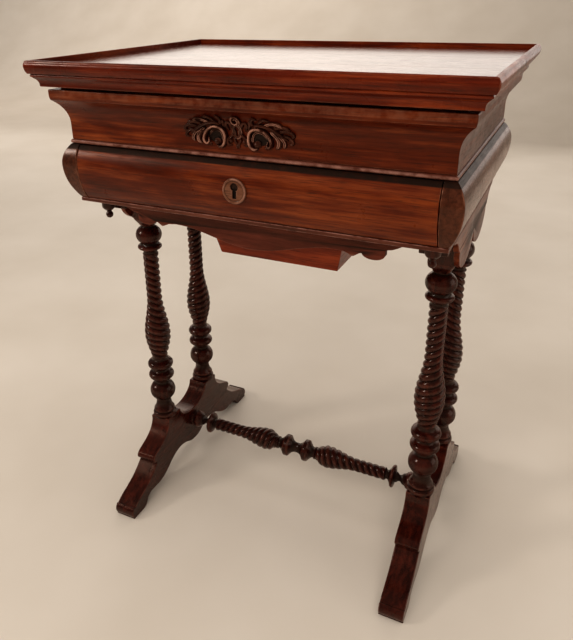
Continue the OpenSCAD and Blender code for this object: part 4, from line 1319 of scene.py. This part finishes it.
@dataclass
class Stretcher:
    """The turned rail between the feet: two cones, two twist bulbs, and flanges."""

    z: float = 75.5
    face: float = 212.0

    def half(self) -> tuple[np.ndarray, np.ndarray, np.ndarray]:
        """Radius against distance from the middle, the depth of the twist, and the corner measure."""
        start, end = 38.0, 160.0
        twist, deep = twist_bulb((start, 57.0, 112.0, end), (10.6, 8.2, 1.1), (10.8, 8.0, 1.1),
                                 (5, 4), 2.3, 110)
        profile = joined(FLANGE, twist, shifted(CUP, z=end), shifted(FINIAL, z=self.face))
        depth = np.concatenate((np.zeros(len(FLANGE)), deep, np.zeros(len(CUP) + len(FINIAL))))
        return profile, depth, turning_marks(profile, 1.5, 10.9, -0.3)

    def build(self, frame: dict) -> None:
        """Builds the two halves as one turned piece, the left one the mirror image of the right."""
        right, depth, mark = self.half()
        profile = np.vstack((right[:0:-1] * (1, -1), right))
        depth = np.concatenate((depth[:0:-1], depth))
        mark = np.concatenate((mark[:0:-1], mark))
        lift = np.array([0.0, 0.0, self.z])

        def lay(points: np.ndarray) -> np.ndarray:
            """Turns the piece from upright to along X."""
            x, y, h = np.moveaxis(points, -1, 0)
            return np.stack((h, x, y), -1) + lift

        shell = turned(Shell(), profile, lay, AROUND_LEG, ROPES, TWIST_PITCH, depth, mark)
        piece = shell.object("stretcher_twisted", SMOOTH_TURNED)
        dress(piece, DARK, "mahogany_dark", "case", "stretcher", shift=1.9)


@dataclass
class Drops:
    """Turned drops at the front corners."""

    x: float = 232.0
    y: float = -151.0
    top: float = 550.0

    def build(self, frame: dict) -> None:
        """Turns both drops into one piece."""
        t = self.top
        ball = arc(0, 0, 1, -82, 48, 12)
        small = np.column_stack((5.2 * ball[:, 0], t - 26.2 + 5.2 * ball[:, 1]))
        profile = joined(small, shifted([(3.4, -21.6), (3.5, -20.6)], z=t),
                         spline(shifted([(4.6, -19.8), (7.2, -17.6), (9.0, -15.4), (9.5, -13.4)], z=t), 12),
                         shifted([(9.5, -9.0), (9.4, -4.0), (9.1, -3.2), (9.4, -2.4), (9.4, 0.3)], z=t))
        mark = np.where(profile[:, 0] < 4, -0.5, 0.2)
        shell = Shell()
        for s in (-1, 1):
            where = np.array([s * self.x, self.y, 0.0])
            turned(shell, profile, lambda p: p + where, 36, edge=mark)
        piece = shell.object("corner_drops_turned", SMOOTH_CARVED)
        dress(piece, DARK, "mahogany_dark", "case", "corner_drops", grain=Grain.Z)


@dataclass
class WoolSlide:
    """The apron that draws forward with the flared wool box under it."""

    half_w: float = 91.0
    half_d: float = 76.0
    bottom: float = 460.0
    height: float = 70.0
    wall: float = 7.0
    flare: float = 0.233
    apron_y: float = -155.7
    apron_t: float = 10.0
    apron_half: float = 206.0
    case_bottom: float = 550.0
    bar_x: tuple = (96.0, 124.0)

    def build(self, frame: dict) -> None:
        """Builds the box boards, the bars and the apron."""
        h, f, w, z = self.height, self.flare, self.wall, self.bottom
        section = joined([[0, z], [-f * h, z + h], [w - f * h, z + h], [w, z]])
        outline, edge = softened(section, 1.2, 5)
        names = ("wool_box_front", "wool_box_right", "wool_box_back", "wool_box_left")
        for name, (turn, length, off, grain) in zip(names, four_sides(self.half_w, self.half_d)):
            piece = run(Shell(), outline, edge, length, off, turn).object(name + "_board")
            dress(piece, CEDAR, "red_cedar", "wool_slide", name, grain=grain, shift=0.6 * turn)
        low, high = (np.array(v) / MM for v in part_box("wool_box_bottom"))
        level = np.array([low[2], low[2] + 0.4, high[2]])
        draw = np.array([f * 6 + 0.4, f * 6, 0.0])
        shell = stack(Shell(), level, low[0] + draw, high[0] - draw, low[1] + draw, high[1] - draw, 0.5)
        piece = shell.object("wool_box_bottom_board")
        dress(piece, CEDAR, "red_cedar", "wool_slide", "wool_box_bottom", shift=2.2)
        bar_low, bar_high = (np.array(v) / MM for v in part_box("wool_bars"))
        shell = Shell()
        for s in (-1, 1):
            x0, x1 = sorted((s * self.bar_x[0], s * self.bar_x[1]))
            block(shell, (x0, bar_low[1], bar_low[2]), (x1, bar_high[1], bar_high[2]), 0.8)
        piece = shell.object("wool_bars_pair")
        dress(piece, CEDAR, "red_cedar", "wool_slide", "wool_bars", grain=Grain.Y, shift=1.4)
        self.apron()
        keep(frame, PINE, ("wool_runners",), Grain.Y)

    def apron(self) -> None:
        """Sawn front apron: a wide bow, a small point, a round lobe and a coved end."""
        b, end = self.case_bottom, self.apron_half
        share = np.linspace(0, 1, 26)
        bow = np.column_stack(((end - 90) * share, b - 43.5 + 18.8 * np.sin(np.pi / 2 * share) ** 2))
        t = np.radians(np.linspace(6, 174, 14))
        lobe = np.column_stack((end - 43 - 14.5 * np.cos(t), b - 24 - 7.4 * np.sin(t)))
        point = [(-79, -26), (-72, -29), (-68, -30.5), (-60, -25.5)]
        cove = [(-25, -16.2), (-20, -15.2), (-14.5, -12.8), (-9.5, -10), (-5, -7), (-1.5, -3.5)]
        outline = mirrored(joined(bow, shifted(point, end, b), lobe,
                                  shifted([(-28.5, -20), (-28.2, -17)], end, b),
                                  spline(shifted(cove, end, b), 14), [[end, b - 0.4]]))
        shell = sawn(Shell(), outline, self.apron_y, self.apron_y + self.apron_t, "y", 0.8, 0.9)
        piece = shell.object("wool_apron_shaped")
        dress(piece, SHADE, "mahogany_case", "wool_slide", "wool_apron", shift=8.6)


# ---------------------------------------------------------------- studio


@dataclass(frozen=True)
class Lamp:
    """One soft light: place, aim, size and power in metres and watts."""

    name: str
    where: tuple
    at: tuple
    size: tuple
    power: float
    colour: tuple
    mirrored_in: bool = True


LAMPS = (
    Lamp("window", (-0.8, 2.6, 1.35), (-0.3, 0, 0.6), (5.6, 1.9), 24, (1.0, 0.99, 0.98)),
    Lamp("side", (3.0, 0.6, 1.2), (0.2, 0, 0.6), (2.2, 2.0), 14, (1.0, 0.93, 0.86)),
    Lamp("key", (-2.5, -1.9, 2.0), (0, 0, 0.55), (0.6, 0.8), 25, (1.0, 0.95, 0.90)),
    Lamp("fill", (0.4, -3.2, 2.2), (0, 0, 0.45), (3.4, 2.6), 60, (1.0, 0.94, 0.88), False),
    Lamp("backdrop", (-3.4, 2.6, 3.2), (-5.2, 5.6, 0.4), (5.0, 1.5), 90, (1.0, 0.97, 0.94), False),
    Lamp("ceiling", (0.0, -0.4, 4.0), (0, 0, 0), (5.0, 5.0), 84, (1.0, 0.97, 0.93), False),
)


@dataclass
class Studio:
    """Pale floor, soft light and the camera."""

    eye: tuple = (0.36227, -0.84816, 0.81129)
    yaw: float = 0.4619
    pitch: float = 0.4053
    roll: float = 0.0175
    lens: float = 36.15
    shift: tuple = (0.0357, -0.0767)

    def floor(self) -> None:
        """Pale matt ground that sweeps up into a backdrop behind the table."""
        far, bend, r = 9000.0, 3200, 2200
        wall = bend + r
        sweep = joined([[-far, -0.5], [bend, -0.5]], arc(bend, r - 0.5, r, -90, 0, 20),
                       [[wall, 7000], [wall + 50, 7000], [wall + 50, -60], [-far, -60]])
        rings = np.stack([np.column_stack((np.full(len(sweep), x), sweep)) for x in (-far, far)])
        ground = Shell().loft(rings).object("ground")
        n = Nodes("pale_ground")
        cloud = n.noise(n.place(), 3.0, 3, 0.5)
        tones = ((0.3, (0.62, 0.54, 0.45)), (0.7, (0.68, 0.60, 0.51)))
        n.join(n.ramp(cloud, tones), n.shader.inputs["Base Color"])
        n.shader.inputs["Roughness"].default_value = 0.75
        ground.data.materials.append(n.material)

    def lamps(self) -> None:
        """Soft rectangular lights, each aimed at a point; the camera doesn't see them, polish may."""
        for lamp in LAMPS:
            data = bpy.data.lights.new(lamp.name, "AREA")
            data.shape, data.size, data.size_y = "RECTANGLE", *lamp.size
            data.energy, data.color = lamp.power, lamp.colour
            light = bpy.data.objects.new(lamp.name, data)
            bpy.context.scene.collection.objects.link(light)
            light.location = lamp.where
            ahead = Vector(lamp.at) - Vector(lamp.where)
            light.rotation_euler = ahead.to_track_quat("-Z", "Y").to_euler()
            light.visible_camera = False
            light.visible_glossy = lamp.mirrored_in

    def build(self) -> None:
        """Builds the floor, lights and camera."""
        self.floor()
        world = bpy.data.worlds.new("soft_room")
        bpy.context.scene.world = world
        world.use_nodes = True
        back = world.node_tree.nodes["Background"]
        back.inputs["Color"].default_value = (0.95, 0.90, 0.85, 1)
        back.inputs["Strength"].default_value = 0.18
        self.lamps()
        self.camera()

    def camera(self) -> None:
        """Sets the camera from its place and three angles, and the view's tones."""
        view = bpy.context.scene.view_settings
        view.view_transform = "Standard"
        view.look = "Medium High Contrast"
        data = bpy.data.cameras.new("view")
        camera = bpy.data.objects.new("view", data)
        bpy.context.scene.collection.objects.link(camera)
        sy, cy, sp, cp = math.sin(self.yaw), math.cos(self.yaw), math.sin(self.pitch), math.cos(self.pitch)
        ahead = np.array([-sy * cp, cy * cp, -sp])
        right = np.array([cy, sy, 0.0])
        down = np.cross(ahead, right)
        sr, cr = math.sin(self.roll), math.cos(self.roll)
        right, down = cr * right + sr * down, -sr * right + cr * down
        frame = np.eye(4)
        frame[:3, :4] = np.column_stack((right, -down, -ahead, self.eye))
        camera.matrix_world = Matrix(frame.tolist())
        data.lens, data.sensor_width, data.sensor_fit = self.lens, 36.0, "AUTO"
        data.shift_x, data.shift_y = self.shift
        data.clip_start, data.clip_end = 0.05, 50.0
        bpy.context.scene.camera = camera


class Part(Protocol):
    """A sub-assembly of the table."""

    def build(self, frame: dict) -> None:
        """Makes its pieces; frame holds the CAD nodes, for those that stay on view."""


def main() -> None:
    """Builds the table in order, from the lid down, then the studio."""
    logging.basicConfig(level=logging.INFO, format="%(name)s: %(message)s")
    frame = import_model()
    parts: tuple[Part, ...] = (
        Lid(), UpperCase(), LowerCase(), Drawer(), Ornament(), PinCushion(), EndFrame(-1), EndFrame(1),
        Stretcher(), Drops(), WoolSlide())
    for part in parts:
        part.build(frame)
    Studio().build()


if __name__ == "__main__":
    main()
